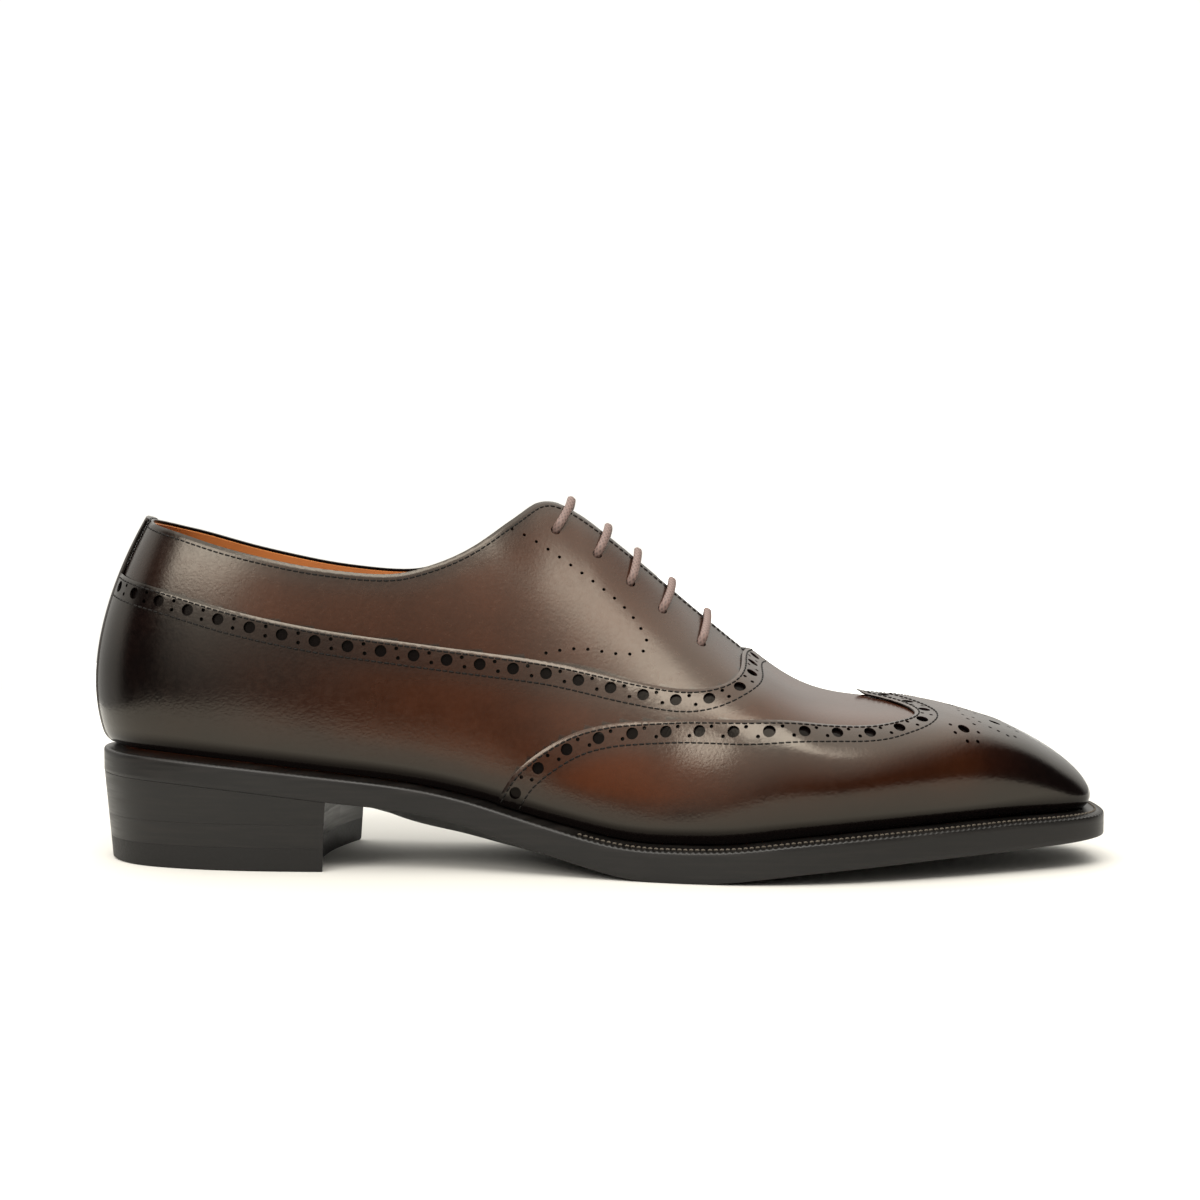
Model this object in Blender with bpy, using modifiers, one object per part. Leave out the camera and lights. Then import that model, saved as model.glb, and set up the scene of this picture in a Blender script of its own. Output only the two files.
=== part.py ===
"""Wingtip oxford for the right foot: stacked heel, welted sole and a hollow upper with its overlays.

The heel's back is at x = 0 and the toe points to +X, the outer (lateral) side to -Y, the floor is Z = 0.
Tables and sizes are in millimetres, and the finished objects are in metres.
"""

from collections import namedtuple

import bmesh
import bpy
import numpy as np
from mathutils import Vector
from mathutils.geometry import delaunay_2d_cdt

MM = 0.001

# Driving dimensions
LENGTH = 304.5
BALL_WIDTH = 102.0
INSTEP_HEIGHT = 110.0
HEEL_HEIGHT = 26.8

# The size that the tables were drawn at
DRAWN_LENGTH = 304.5
DRAWN_BALL_WIDTH = 102.0
DRAWN_INSTEP_HEIGHT = 110.0
DRAWN_HEEL_HEIGHT = 26.8

# Leather and gaps
GAP = 0.3
WALL = 2.0
OVERLAY = 0.8
STRIP_THICK = 1.2
WELT_THICK = 3.0
WELT_TUCK = 2.4
WELT_FALL = 1.2
INSOLE_THICK = 4.6
INSOLE_CLEAR = 2.7
TONGUE_THICK = 1.6

# Heel
BREAST_X = 74.5
BREAST_HOLLOW = 5.0
BREAST_SKEW = 0.05
HEEL_TAPER = 2.4
LIFT_JOINTS = (14.0, 7.0)

# Throat and lacing
SLOT_HALF_TOP = 3.3
SLOT_HALF_END = 1.6
SLOT_X = (143.0, 199.5)
LACE_RADIUS = 1.25
TONGUE_X = (142.6, 214.0)
TONGUE_HALF = 19.0
STRIP_HALF = 8.5
TOE_SWING = 2.8

# Mesh fineness
GIRTH = 85.0
STATION_SPLIT = 2
SIDE_STEPS = 8
EDGE_STEP = 7.0
EDGE_CLEAR = 2.6
PLATE_COLUMNS = 5
HEEL_ROWS = 12
LACE_STEPS = 4
WELD = 0.02
SLIVER = 0.001

SoleRow = namedtuple("SoleRow", "x lateral medial rise thick reach crown")
# One row a section, heel to toe: half widths of the sole, height of its lower edge, thickness of sole and
# welt, how far the welt reaches past the upper, and how much the middle of the waist hangs down.
SOLE_ROWS = [SoleRow(*row) for row in (
    (0.0, 0.0, 0.0, 26.8, 7.1, 2.7, 0.0),
    (4.0, 13.5, 13.5, 26.6, 7.1, 2.7, 0.0),
    (12.0, 22.5, 22.5, 26.3, 7.0, 2.8, 0.0),
    (25.0, 29.0, 29.0, 25.6, 7.0, 2.9, 0.0),
    (40.0, 32.8, 32.5, 24.4, 7.0, 3.0, 0.0),
    (58.0, 34.6, 33.0, 22.5, 7.1, 3.1, 0.0),
    (76.0, 34.9, 31.0, 20.4, 7.2, 3.2, 0.0),
    (95.0, 34.6, 28.0, 18.2, 7.0, 3.2, 6.0),
    (112.0, 35.2, 26.5, 14.6, 7.2, 3.6, 6.5),
    (128.0, 37.4, 27.0, 9.2, 8.0, 4.6, 4.5),
    (144.0, 41.0, 30.0, 2.9, 9.0, 5.8, 1.5),
    (160.0, 45.2, 35.0, -0.4, 9.3, 6.6, 0.0),
    (176.0, 49.2, 40.5, -0.4, 9.1, 6.9, 0.0),
    (192.0, 52.0, 45.0, 0.9, 8.9, 7.0, 0.0),
    (206.0, 52.6, 48.0, 2.6, 8.7, 7.0, 0.0),
    (220.0, 51.2, 49.3, 4.0, 8.5, 7.0, 0.0),
    (234.0, 47.8, 48.5, 5.0, 8.4, 7.0, 0.0),
    (248.0, 43.0, 46.0, 5.9, 8.2, 7.0, 0.0),
    (262.0, 37.3, 41.8, 6.6, 8.1, 7.0, 0.0),
    (275.0, 31.5, 36.4, 7.2, 8.0, 6.9, 0.0),
    (286.0, 26.2, 30.8, 7.7, 7.6, 6.7, 0.0),
    (295.0, 20.8, 25.4, 8.2, 7.2, 6.5, 0.0),
    (301.0, 15.2, 20.0, 8.7, 6.9, 6.4, 0.0),
    (304.5, 0.0, 0.0, 8.9, 6.8, 6.4, 0.0),
)]

UpperRow = namedtuple(
    "UpperRow", "top_x top_half top_z swing out_lateral out_medial up hang_x hang_side hang_z"
)
# The upper's profile over the same sections. It leaves the feather edge outwards and up, and comes to the
# top rail (ridge of the foot, or a rail above the collar) along the hang. Swing bends the ridge inwards.
UPPER_ROWS = [UpperRow(*row) for row in (
    (20.4, 0.0, 112.0, 0.0, 10.0, 10.0, 21.5, -15.4, 0.0, -22.0),
    (21.2, 6.5, 111.8, 0.0, 9.4, 9.4, 21.5, -12.2, 6.6, -22.0),
    (24.0, 12.0, 111.4, 0.0, 7.8, 7.8, 21.5, -7.5, 9.2, -22.0),
    (32.0, 17.2, 111.0, 0.0, 5.4, 5.4, 22.0, -2.7, 9.0, -22.0),
    (45.0, 20.6, 110.5, 0.0, 3.8, 3.9, 22.5, -0.5, 7.8, -22.0),
    (60.5, 22.3, 110.0, 0.0, 2.6, 3.2, 23.0, 0.0, 6.6, -22.0),
    (74.5, 22.4, 109.8, 0.0, 1.8, 3.5, 24.0, 0.3, 6.0, -22.0),
    (89.5, 21.0, 110.2, 0.0, 1.5, 5.0, 25.0, 1.0, 7.0, -21.0),
    (103.5, 17.8, 111.5, 0.0, 1.5, 6.0, 27.0, 2.0, 9.5, -20.0),
    (117.0, 12.0, 113.8, 0.0, 1.6, 6.0, 29.0, 3.0, 12.5, -16.0),
    (129.0, 3.4, 114.6, 0.0, 2.0, 5.0, 30.0, 3.5, 12.5, -10.0),
    (142.0, 0.0, 108.5, 0.0, 2.3, 4.0, 30.0, 2.5, 11.5, -5.0),
    (157.5, 0.0, 97.0, 0.0, 2.6, 3.5, 29.0, 1.5, 11.5, -5.0),
    (176.0, 0.0, 81.2, 0.3, 5.0, 4.2, 35.0, 0.5, 15.0, -7.0),
    (193.0, 0.0, 66.5, 0.9, 6.2, 5.2, 36.5, 0.5, 24.5, -7.5),
    (210.5, 0.0, 53.8, 1.5, 6.2, 5.6, 31.5, 0.5, 31.0, -5.0),
    (227.0, 0.0, 48.9, 2.2, 6.2, 5.8, 28.5, 0.0, 33.5, -3.2),
    (242.5, 0.0, 47.4, 2.9, 6.0, 6.0, 28.0, 0.0, 31.5, -3.0),
    (255.5, 0.0, 45.1, 3.4, 5.8, 5.8, 26.5, 0.0, 28.5, -1.9),
    (264.8, 0.0, 42.5, 3.7, 5.4, 5.4, 22.0, 2.0, 24.0, -1.8),
    (270.0, 0.0, 40.9, 3.9, 4.8, 4.8, 17.0, 6.0, 18.0, -2.8),
    (271.8, 0.0, 40.3, 4.0, 4.2, 4.2, 11.5, 10.0, 11.5, -4.3),
    (272.0, 0.0, 40.2, 4.0, 3.6, 3.6, 8.2, 13.0, 5.8, -5.6),
    (272.0, 0.0, 40.2, 4.0, 3.5, 3.5, 7.4, 14.0, 0.0, -6.0),
)]
POLE_ROW = 22
RIDGE_ROW = 11

# Edges of the panels as seen from the side, x and z, from the heel's back to the front
COLLAR_EDGE = (
    (14.9, 103.4), (28.0, 99.1), (40.5, 95.3), (53.0, 92.2), (64.5, 89.8), (76.5, 88.1), (88.0, 87.2),
    (94.0, 87.5), (100.0, 88.9), (105.5, 90.7), (111.5, 93.3), (117.0, 96.5), (123.0, 100.9),
    (128.5, 105.0), (132.0, 107.6), (135.0, 108.7),
)
BAND_EDGE = (
    (5.0, 87.2), (9.0, 86.2), (24.0, 82.4), (40.0, 77.9), (58.0, 73.6), (75.0, 70.4), (91.0, 68.1),
    (111.0, 65.4), (134.5, 62.2), (155.5, 57.9), (170.5, 54.9), (181.5, 54.3), (189.0, 55.8),
    (194.0, 59.5), (196.5, 64.0),
)
BAND_PEAK_X = 197.0
WING_EDGE = (
    (122.3, 20.0), (127.5, 28.8), (135.0, 35.6), (144.0, 40.9), (153.5, 43.8), (164.0, 45.1),
    (177.0, 45.9), (199.2, 46.2), (211.0, 45.6),
)
# The wing's edge goes on as seen from above: x, and distance from the ridge
WING_PEAK = (
    (221.4, 38.0), (228.7, 36.6), (234.2, 34.8), (239.0, 32.0), (243.2, 28.6), (245.4, 24.6),
    (245.4, 20.0), (243.0, 14.0), (239.0, 8.2), (234.8, 4.2),
)
WING_PEAK_X = 230.0

LaceRow = namedtuple("LaceRow", "hole_x hole_z ridge_x")
# A row a bar: its lateral hole as seen from the side, and where it crosses the ridge
LACE_ROWS = [LaceRow(*row) for row in (
    (139.0, 99.9, 142.7),
    (151.5, 92.7, 153.9),
    (161.5, 84.2, 162.9),
    (171.0, 76.2, 173.3),
    (182.5, 66.6, 184.1),
)]

Finish = namedtuple("Finish", "colour roughness")
FINISHES = {
    "calf_dark": Finish((0.045, 0.022, 0.015), 0.35),
    "calf_brown": Finish((0.110, 0.045, 0.028), 0.35),
    "calf_mid": Finish((0.075, 0.033, 0.022), 0.35),
    "edge_leather": Finish((0.018, 0.012, 0.010), 0.40),
    "tread_rubber": Finish((0.012, 0.011, 0.011), 0.60),
    "sock_leather": Finish((0.420, 0.200, 0.085), 0.55),
    "waxed_lace": Finish((0.130, 0.085, 0.075), 0.65),
}


class LoopSpline:
    """A closed smooth curve through rows of values, with its slope."""

    def __init__(self, knots, values, period):
        self.knots = np.append(knots, knots[0] + period)
        self.values = np.vstack([values, values[:1]])
        self.period = period
        step = np.diff(self.knots)
        count = len(knots)
        slopes = np.diff(self.values, axis=0) / step[:, None]
        matrix = np.zeros((count, count))
        right = np.zeros_like(values)
        for row in range(count):
            before = row - 1
            after = (row + 1) % count
            matrix[row, before] += step[before]
            matrix[row, row] += 2.0 * (step[before] + step[row])
            matrix[row, after] += step[row]
            right[row] = 6.0 * (slopes[row] - slopes[before])
        bends = np.linalg.solve(matrix, right)
        self.bends = np.vstack([bends, bends[:1]])

    def at(self, place):
        place = np.mod(np.asarray(place, float), self.period)
        piece = np.clip(np.searchsorted(self.knots, place, side="right") - 1, 0, len(self.knots) - 2)
        step = (self.knots[piece + 1] - self.knots[piece])[..., None]
        near = (place - self.knots[piece])[..., None]
        far = step - near
        low, high = self.values[piece], self.values[piece + 1]
        bend_low, bend_high = self.bends[piece], self.bends[piece + 1]
        value = (
            (bend_low * far**3 + bend_high * near**3) / (6.0 * step)
            + (low / step - bend_low * step / 6.0) * far
            + (high / step - bend_high * step / 6.0) * near
        )
        slope = (
            (bend_high * near**2 - bend_low * far**2) / (2.0 * step)
            + (high - low) / step
            - (bend_high - bend_low) * step / 6.0
        )
        return value, slope


def open_curve(points, step):
    """Points about a step apart on a smooth curve through a few, straight at both ends."""
    points = np.asarray(points, float)
    chord = np.linalg.norm(np.diff(points, axis=0), axis=1)
    knots = np.concatenate([[0.0], np.cumsum(chord)])
    count = len(points)
    matrix = np.eye(count)
    right = np.zeros_like(points)
    for row in range(1, count - 1):
        matrix[row, row - 1] = chord[row - 1]
        matrix[row, row] = 2.0 * (chord[row - 1] + chord[row])
        matrix[row, row + 1] = chord[row]
        ahead = (points[row + 1] - points[row]) / chord[row]
        behind = (points[row] - points[row - 1]) / chord[row - 1]
        right[row] = 6.0 * (ahead - behind)
    bends = np.linalg.solve(matrix, right)
    places = np.linspace(0.0, knots[-1], max(2, int(round(knots[-1] / step)) + 1))
    piece = np.clip(np.searchsorted(knots, places, side="right") - 1, 0, count - 2)
    length = chord[piece][:, None]
    near = (places - knots[piece])[:, None]
    far = length - near
    return (
        (bends[piece] * far**3 + bends[piece + 1] * near**3) / (6.0 * length)
        + (points[piece] / length - bends[piece] * length / 6.0) * far
        + (points[piece + 1] / length - bends[piece + 1] * length / 6.0) * near
    )


class Last:
    """The foot's form. A point on it has a place round the sole's edge and a height between 0 and 1.

    The place runs in millimetres from the heel's back along the lateral side to the toe, and back along
    the medial side. Height 0 is the feather edge, where the upper meets the welt, and 1 is the top rail.
    """

    def __init__(self):
        stretch = LENGTH / DRAWN_LENGTH
        widen = BALL_WIDTH / DRAWN_BALL_WIDTH
        raise_by = INSTEP_HEIGHT / DRAWN_INSTEP_HEIGHT
        lift = HEEL_HEIGHT / DRAWN_HEEL_HEIGHT
        rows = len(SOLE_ROWS)
        sides = []
        for sign in (-1.0, 1.0):
            side = []
            for sole, upper in zip(SOLE_ROWS, UPPER_ROWS):
                half = sole.lateral if sign < 0.0 else sole.medial
                out = upper.out_lateral if sign < 0.0 else upper.out_medial
                edge_y = sign * half * widen
                if sole is SOLE_ROWS[-1]:
                    edge_y = TOE_SWING
                side.append((
                    sole.x * stretch, edge_y, sole.rise * lift, sole.thick, sole.reach, sole.crown,
                    upper.top_x * stretch, sign * upper.top_half * widen + upper.swing,
                    upper.top_z * raise_by, out, upper.up,
                    upper.hang_x, sign * upper.hang_side, upper.hang_z,
                ))
            sides.append(np.array(side))
        lateral, medial = sides
        chord = [
            np.linalg.norm(np.diff(side[:, :2], axis=0), axis=1) for side in sides
        ]
        marks = np.concatenate([[0.0], np.cumsum((chord[0] + chord[1]) / 2.0)])
        self.half = marks[-1]
        self.marks = marks
        self.pole = marks[POLE_ROW]
        self.ridge_start = marks[RIDGE_ROW]
        knots = np.concatenate([marks, 2.0 * self.half - marks[rows - 2:0:-1]])
        values = np.vstack([lateral, medial[rows - 2:0:-1]])
        self.spline = LoopSpline(knots, values, 2.0 * self.half)
        self.pole_values = lateral[POLE_ROW, 6:9]

    def edge(self, place, reach=0.0):
        """The sole's outline, set in by a distance: x, y, height of the lower edge, thickness, crown."""
        value, slope = self.spline.at(place)
        along = slope[..., :2] / np.linalg.norm(slope[..., :2], axis=-1, keepdims=True)
        out = np.stack([along[..., 1], -along[..., 0]], axis=-1)
        flat = value[..., :2] - out * np.asarray(reach)[..., None]
        rise = np.maximum(value[..., 2], 0.0)
        crown = np.maximum(value[..., 5], 0.0)
        return flat, rise, value[..., 3], crown, out

    def reach(self, place):
        """How far the welt reaches past the upper."""
        return self.spline.at(place)[0][..., 4]

    def surface(self, place, height):
        """Points on the upper's base form."""
        place = np.asarray(place, float)
        height = np.asarray(height, float)[..., None]
        value, _ = self.spline.at(place)
        flat, rise, thick, _, out = self.edge(place, value[..., 4])
        feather = np.concatenate([flat, (rise + thick + WELT_FALL + GAP)[..., None]], axis=-1)
        low = feather.copy()
        low[..., :2] += out * value[..., 9:10]
        low[..., 2] += value[..., 10]
        folded = self.fold(place)
        top = value[..., 6:9].copy()
        middle = (top[..., 1] + self.spline.at(-place)[0][..., 7]) / 2.0
        top[..., 1] = np.where(folded >= self.ridge_start, middle, top[..., 1])
        top = np.where((folded >= self.pole)[..., None], self.pole_values, top)
        high = top + value[..., 11:14]
        rest = 1.0 - height
        return (
            rest**3 * feather
            + 3.0 * rest**2 * height * low
            + 3.0 * rest * height**2 * high
            + height**3 * top
        )

    def fold(self, place):
        """The lateral place that mirrors a place of either side."""
        place = np.mod(place, 2.0 * self.half)
        return np.minimum(place, 2.0 * self.half - place)

    def normal(self, place, height):
        """Outward directions on the base form, the same from both sides where they meet on the ridge."""
        step_place, step_height = 0.05, 0.0005
        inner = np.clip(height, step_height, 0.99)
        along = self.surface(place + step_place, inner) - self.surface(place - step_place, inner)
        up = self.surface(place, inner + step_height) - self.surface(place, inner - step_height)
        normal = np.cross(along, up)
        return normal / np.linalg.norm(normal, axis=-1, keepdims=True)

    def offset(self, place, height, distance):
        """Points a distance outside the base form."""
        place = np.asarray(place, float)
        height = np.asarray(height, float)
        normal = self.normal(place, height)
        folded = self.fold(place)
        level = np.ones_like(height)
        toward = np.minimum(folded, self.pole)
        shared = self.normal(toward, level) + self.normal(-toward, level)
        shared /= np.linalg.norm(shared, axis=-1, keepdims=True)
        on_ridge = (height > 1.0 - 1e-6) & (folded >= self.ridge_start)
        normal = np.where(on_ridge[..., None], shared, normal)
        return self.surface(place, height) + normal * distance

    def ridge_place(self, x):
        """The lateral place whose point on the ridge has a given x."""
        places = np.linspace(self.ridge_start, self.pole, 800)
        return np.interp(x, self.surface(places, np.ones_like(places))[:, 0], places)

    def height_from_ridge(self, place, distance):
        """The height at which a place's profile is a distance from the ridge."""
        heights = np.linspace(1.0, 0.3, 400)
        points = self.surface(np.full_like(heights, place), heights)
        return np.interp(distance, np.linalg.norm(points - points[0], axis=1), heights)

    def height_at_back(self, level):
        """The height on the heel's back line that lies at a given z."""
        heights = np.linspace(0.0, 1.0, 400)
        return np.interp(level, self.surface(np.zeros_like(heights), heights)[:, 2], heights)

    def locate(self, target, axes, distance=0.0):
        """Place and height of the lateral points that match a target on two axes."""
        target = np.asarray(target, float)
        places, heights = np.meshgrid(np.linspace(0.0, self.half, 161), np.linspace(0.0, 1.0, 61))
        net = self.offset(places.ravel(), heights.ravel(), distance)[:, axes]
        pick = np.argmin(((target[:, None, :] - net[None]) ** 2).sum(axis=2), axis=1)
        place, height = places.ravel()[pick], heights.ravel()[pick]
        for _ in range(12):
            here = self.offset(place, height, distance)[:, axes]
            by_place = (self.offset(place + 0.1, height, distance)[:, axes] - here) / 0.1
            by_height = (self.offset(place, height - 0.001, distance)[:, axes] - here) / -0.001
            miss = target - here
            det = by_place[:, 0] * by_height[:, 1] - by_place[:, 1] * by_height[:, 0]
            det = np.where(np.abs(det) < 1e-6, 1e-6, det)
            move_place = (miss[:, 0] * by_height[:, 1] - miss[:, 1] * by_height[:, 0]) / det
            move_height = (by_place[:, 0] * miss[:, 1] - by_place[:, 1] * miss[:, 0]) / det
            place = np.clip(place + np.clip(move_place, -4.0, 4.0), 0.0, self.half)
            height = np.clip(height + np.clip(move_height, -0.05, 0.05), 0.0, 1.0)
        return np.column_stack([place, height])


LAST = Last()
SIDE_VIEW = [0, 2]
TOP_VIEW = [0, 1]
FOXING_LEVEL = GAP + OVERLAY
WING_LEVEL = 2.0 * FOXING_LEVEL
STRIP_LEVEL = GAP + STRIP_THICK
SHEET = np.array([1.0, GIRTH])


def sheet_curve(points):
    """A smooth edge through places and heights, on the flat sheet that the panels are cut from."""
    return open_curve(np.asarray(points) * SHEET, EDGE_STEP)


def collar_curve():
    """The lateral edge of the opening: collar, facing and the end of the throat."""
    points = [(0.0, LAST.height_at_back(COLLAR_EDGE[0][1]))]
    points += list(LAST.locate(COLLAR_EDGE[1:], SIDE_VIEW))
    for x in np.linspace(SLOT_X[0], SLOT_X[1] - SLOT_HALF_END, 6):
        part = (x - SLOT_X[0]) / (SLOT_X[1] - SLOT_X[0])
        half = SLOT_HALF_TOP + part * (SLOT_HALF_END - SLOT_HALF_TOP)
        place = LAST.ridge_place(x)
        points.append((place, LAST.height_from_ridge(place, half)))
    edge = sheet_curve(points)
    return np.vstack([edge, np.array([LAST.ridge_place(SLOT_X[1]), 1.0]) * SHEET])


def band_curve():
    """The lateral upper edge of the foxing and vamp panel."""
    points = [(0.0, LAST.height_at_back(BAND_EDGE[0][1]))]
    points += list(LAST.locate(BAND_EDGE[1:], SIDE_VIEW, FOXING_LEVEL))
    points.append((LAST.ridge_place(BAND_PEAK_X), 1.0))
    return sheet_curve(points)


def wing_curve():
    """The lateral upper edge of the wing cap."""
    points = list(LAST.locate(WING_EDGE, SIDE_VIEW, WING_LEVEL))
    points[0][1] = 0.0
    peak = []
    for x, side in WING_PEAK:
        ridge = LAST.surface(LAST.ridge_place(x), 1.0)
        peak.append((x, ridge[1] - side))
    points += list(LAST.locate(peak, TOP_VIEW, WING_LEVEL))
    points.append((LAST.ridge_place(WING_PEAK_X), 1.0))
    return sheet_curve(points)


def tongue_curve():
    """The lateral outline of the tongue, from the ridge at its top to the ridge at its end."""
    places = np.linspace(LAST.ridge_place(TONGUE_X[0]), LAST.ridge_place(TONGUE_X[1]), 9)
    side = np.array([(place, LAST.height_from_ridge(place, TONGUE_HALF)) for place in places])
    top = np.linspace((places[0], 1.0), side[0], 4)
    end = np.linspace(side[-1], (places[-1], 1.0), 4)
    return np.vstack([top[:-1], side, end[1:]]) * SHEET


def mirrored(curve):
    """The same edge on the medial side, in the opposite direction."""
    return np.column_stack([2.0 * LAST.half - curve[::-1, 0], curve[::-1, 1]])


def upright(place, top):
    """A straight line up the sheet from the feather edge."""
    heights = np.linspace(0.0, top, SIDE_STEPS + 1)
    return np.column_stack([np.full_like(heights, place), heights]) * SHEET


def across(curve, place):
    """The height, on the sheet, of an edge at a place near the heel."""
    return np.interp(place, curve[:, 0], curve[:, 1])


def inside(polygon, points):
    """Which points lie inside a closed polygon."""
    start, stop = polygon, np.roll(polygon, -1, axis=0)
    x, y = points[:, :1], points[:, 1:]
    crosses = (start[:, 1] > y) != (stop[:, 1] > y)
    run = np.where(stop[:, 1] == start[:, 1], 1.0, stop[:, 1] - start[:, 1])
    reach = start[:, 0] + (y - start[:, 1]) * (stop[:, 0] - start[:, 0]) / run
    return (crosses & (x < reach)).sum(axis=1) % 2 == 1


def sole_stations():
    """Places from the heel's back to the toe along one side."""
    places = []
    for low, high in zip(LAST.marks[:-1], LAST.marks[1:]):
        places += list(np.linspace(low, high, STATION_SPLIT, endpoint=False))
    return np.array(places + [LAST.half])


class Sheet:
    """One triangle net over the whole last, with the panels' edges in it, so that the layers run parallel."""

    def __init__(self):
        whole = 2.0 * LAST.half
        collar, band, wing, tongue = collar_curve(), band_curve(), wing_curve(), tongue_curve()
        strip_top, foxing_top = across(collar, STRIP_HALF), across(band, STRIP_HALF + GAP)
        strip = upright(STRIP_HALF, strip_top / GIRTH)
        foxing = upright(STRIP_HALF + GAP, foxing_top / GIRTH)
        self.curves = []
        for curve in (collar, band, wing, tongue, strip, foxing):
            self.curves += [curve, mirrored(curve)]
        along = band[band[:, 0] > STRIP_HALF + GAP]
        near_strip = np.vstack([[0.0, 0.0], strip, collar[collar[:, 0] < STRIP_HALF][::-1]])
        foxing_side = np.vstack([foxing, along])
        self.panels = {
            "upper": [np.vstack([[0.0, 0.0], collar, mirrored(collar), [whole, 0.0]])],
            "vamp_foxing": [np.vstack([foxing_side, mirrored(foxing_side)])],
            "wing_cap": [np.vstack([wing, mirrored(wing)])],
            "back_strip": [near_strip, mirrored(near_strip)],
            "tongue": [tongue, mirrored(tongue)],
        }
        self.points, self.triangles = self.triangulate(whole)

    def triangulate(self, whole):
        """Points on the sheet, and the triangles between them that keep the panels' edges."""
        stations = sole_stations()
        stations = np.concatenate([stations, whole - stations[-2::-1]])
        levels = np.linspace(0.0, GIRTH, SIDE_STEPS + 1)
        grid = np.array([(place, level) for place in stations for level in levels])
        dense = []
        for curve in self.curves:
            for start, stop in zip(curve[:-1], curve[1:]):
                dense += list(np.linspace(start, stop, 7))
        dense = np.array(dense)
        apart = np.array([np.min(np.linalg.norm(dense - point, axis=1)) for point in grid])
        corner = ((grid[:, 0] == 0.0) | (grid[:, 0] == whole)) & ((grid[:, 1] == 0.0) | (grid[:, 1] == GIRTH))
        grid = grid[(apart > EDGE_CLEAR) | corner]
        points = [Vector(point) for point in grid]
        edges = []
        for curve in self.curves:
            first = len(points)
            points += [Vector(point) for point in curve]
            edges += [(first + step, first + step + 1) for step in range(len(curve) - 1)]
        found = delaunay_2d_cdt(points, edges, [], 0, 1e-4)
        flat = np.array([tuple(point) for point in found[0]])
        triangles = np.array([tuple(face) for face in found[2]])
        first, second, third = flat[triangles].transpose(1, 0, 2)
        area = np.cross(second - first, third - first) / 2.0
        return flat, triangles[area > SLIVER]

    def panel(self, name):
        """The triangles of a panel."""
        middles = self.points[self.triangles].mean(axis=1)
        keep = np.zeros(len(self.triangles), bool)
        for polygon in self.panels[name]:
            keep |= inside(polygon, middles)
        return self.triangles[keep]


def middle_of_box():
    """The middle of the shoe on the floor. The strip at the back stands out past the sole."""
    outline = LAST.edge(np.linspace(0.0, 2.0 * LAST.half, 2000))[0]
    heights = np.linspace(0.0, 1.0, SIDE_STEPS + 1)
    back = LAST.offset(np.zeros_like(heights), heights, STRIP_LEVEL)[:, 0].min()
    side = outline[:, 1]
    return np.array([(LENGTH + back) / 2.0, (side.min() + side.max()) / 2.0, 0.0])


ORIGIN = middle_of_box()


def finish_material(name, finish):
    """The leather, rubber or cotton of one piece."""
    look = FINISHES[finish]
    material = bpy.data.materials.new(name + "_" + finish)
    material.use_nodes = True
    shader = material.node_tree.nodes["Principled BSDF"]
    shader.inputs["Base Color"].default_value = look.colour + (1.0,)
    shader.inputs["Roughness"].default_value = look.roughness
    shader.inputs["Metallic"].default_value = 0.0
    return material


def place_object(name, data, finish, parts):
    """Put a piece into the collection with its own material, under the shoe's empty."""
    collection, root = parts
    thing = bpy.data.objects.new(name, data)
    data.materials.append(finish_material(name, finish))
    collection.objects.link(thing)
    thing.parent = root
    return thing


def mesh_object(name, points, faces, finish, parts):
    """A welded, smooth mesh from points in millimetres."""
    form = bmesh.new()
    corners = [form.verts.new((np.asarray(point) - ORIGIN) * MM) for point in points]
    for face in faces:
        form.faces.new([corners[corner] for corner in face])
    bmesh.ops.remove_doubles(form, verts=form.verts, dist=WELD * MM)
    loose = [corner for corner in form.verts if not corner.link_faces]
    bmesh.ops.delete(form, geom=loose, context="VERTS")
    for face in form.faces:
        face.smooth = True
    mesh = bpy.data.meshes.new(name)
    form.to_mesh(mesh)
    form.free()
    return place_object(name, mesh, finish, parts)


def leather_panel(sheet, name, level, thickness, finish, parts):
    """A panel cut from the sheet, raised to a level and given its thickness inwards."""
    triangles = sheet.panel(name)
    used, renumbered = np.unique(triangles, return_inverse=True)
    place, height = (sheet.points[used] / SHEET).T
    height = np.clip(height, 0.0, 1.0)
    points = LAST.offset(place, height, level)
    feather = LAST.surface(place, height)[:, 2]
    points[:, 2] = np.where(height < 0.5 / SIDE_STEPS, np.maximum(points[:, 2], feather), points[:, 2])
    panel = mesh_object(name, points, renumbered.reshape(-1, 3), finish, parts)
    wall = panel.modifiers.new("leather", "SOLIDIFY")
    wall.thickness = thickness * MM
    wall.offset = -1.0
    wall.use_even_offset = True


def plate(name, top, bottom, finish, parts):
    """A closed plate between two nets of points that run from heel to toe and from lateral to medial."""
    rows, columns = top.shape[:2]
    points = np.vstack([top.reshape(-1, 3), bottom.reshape(-1, 3)])
    under = rows * columns
    faces = []
    for row in range(rows - 1):
        for column in range(columns - 1):
            here = row * columns + column
            face = [here, here + columns, here + columns + 1, here + 1]
            faces += [face, [under + corner for corner in face[::-1]]]
        near, far = row * columns, row * columns + columns - 1
        faces.append([under + near, under + near + columns, near + columns, near])
        faces.append([far, far + columns, under + far + columns, under + far])
    for column in range(columns - 1):
        here = (rows - 1) * columns + column
        faces.append([under + here, under + here + 1, here + 1, here])
    return mesh_object(name, points, faces, finish, parts)


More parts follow.
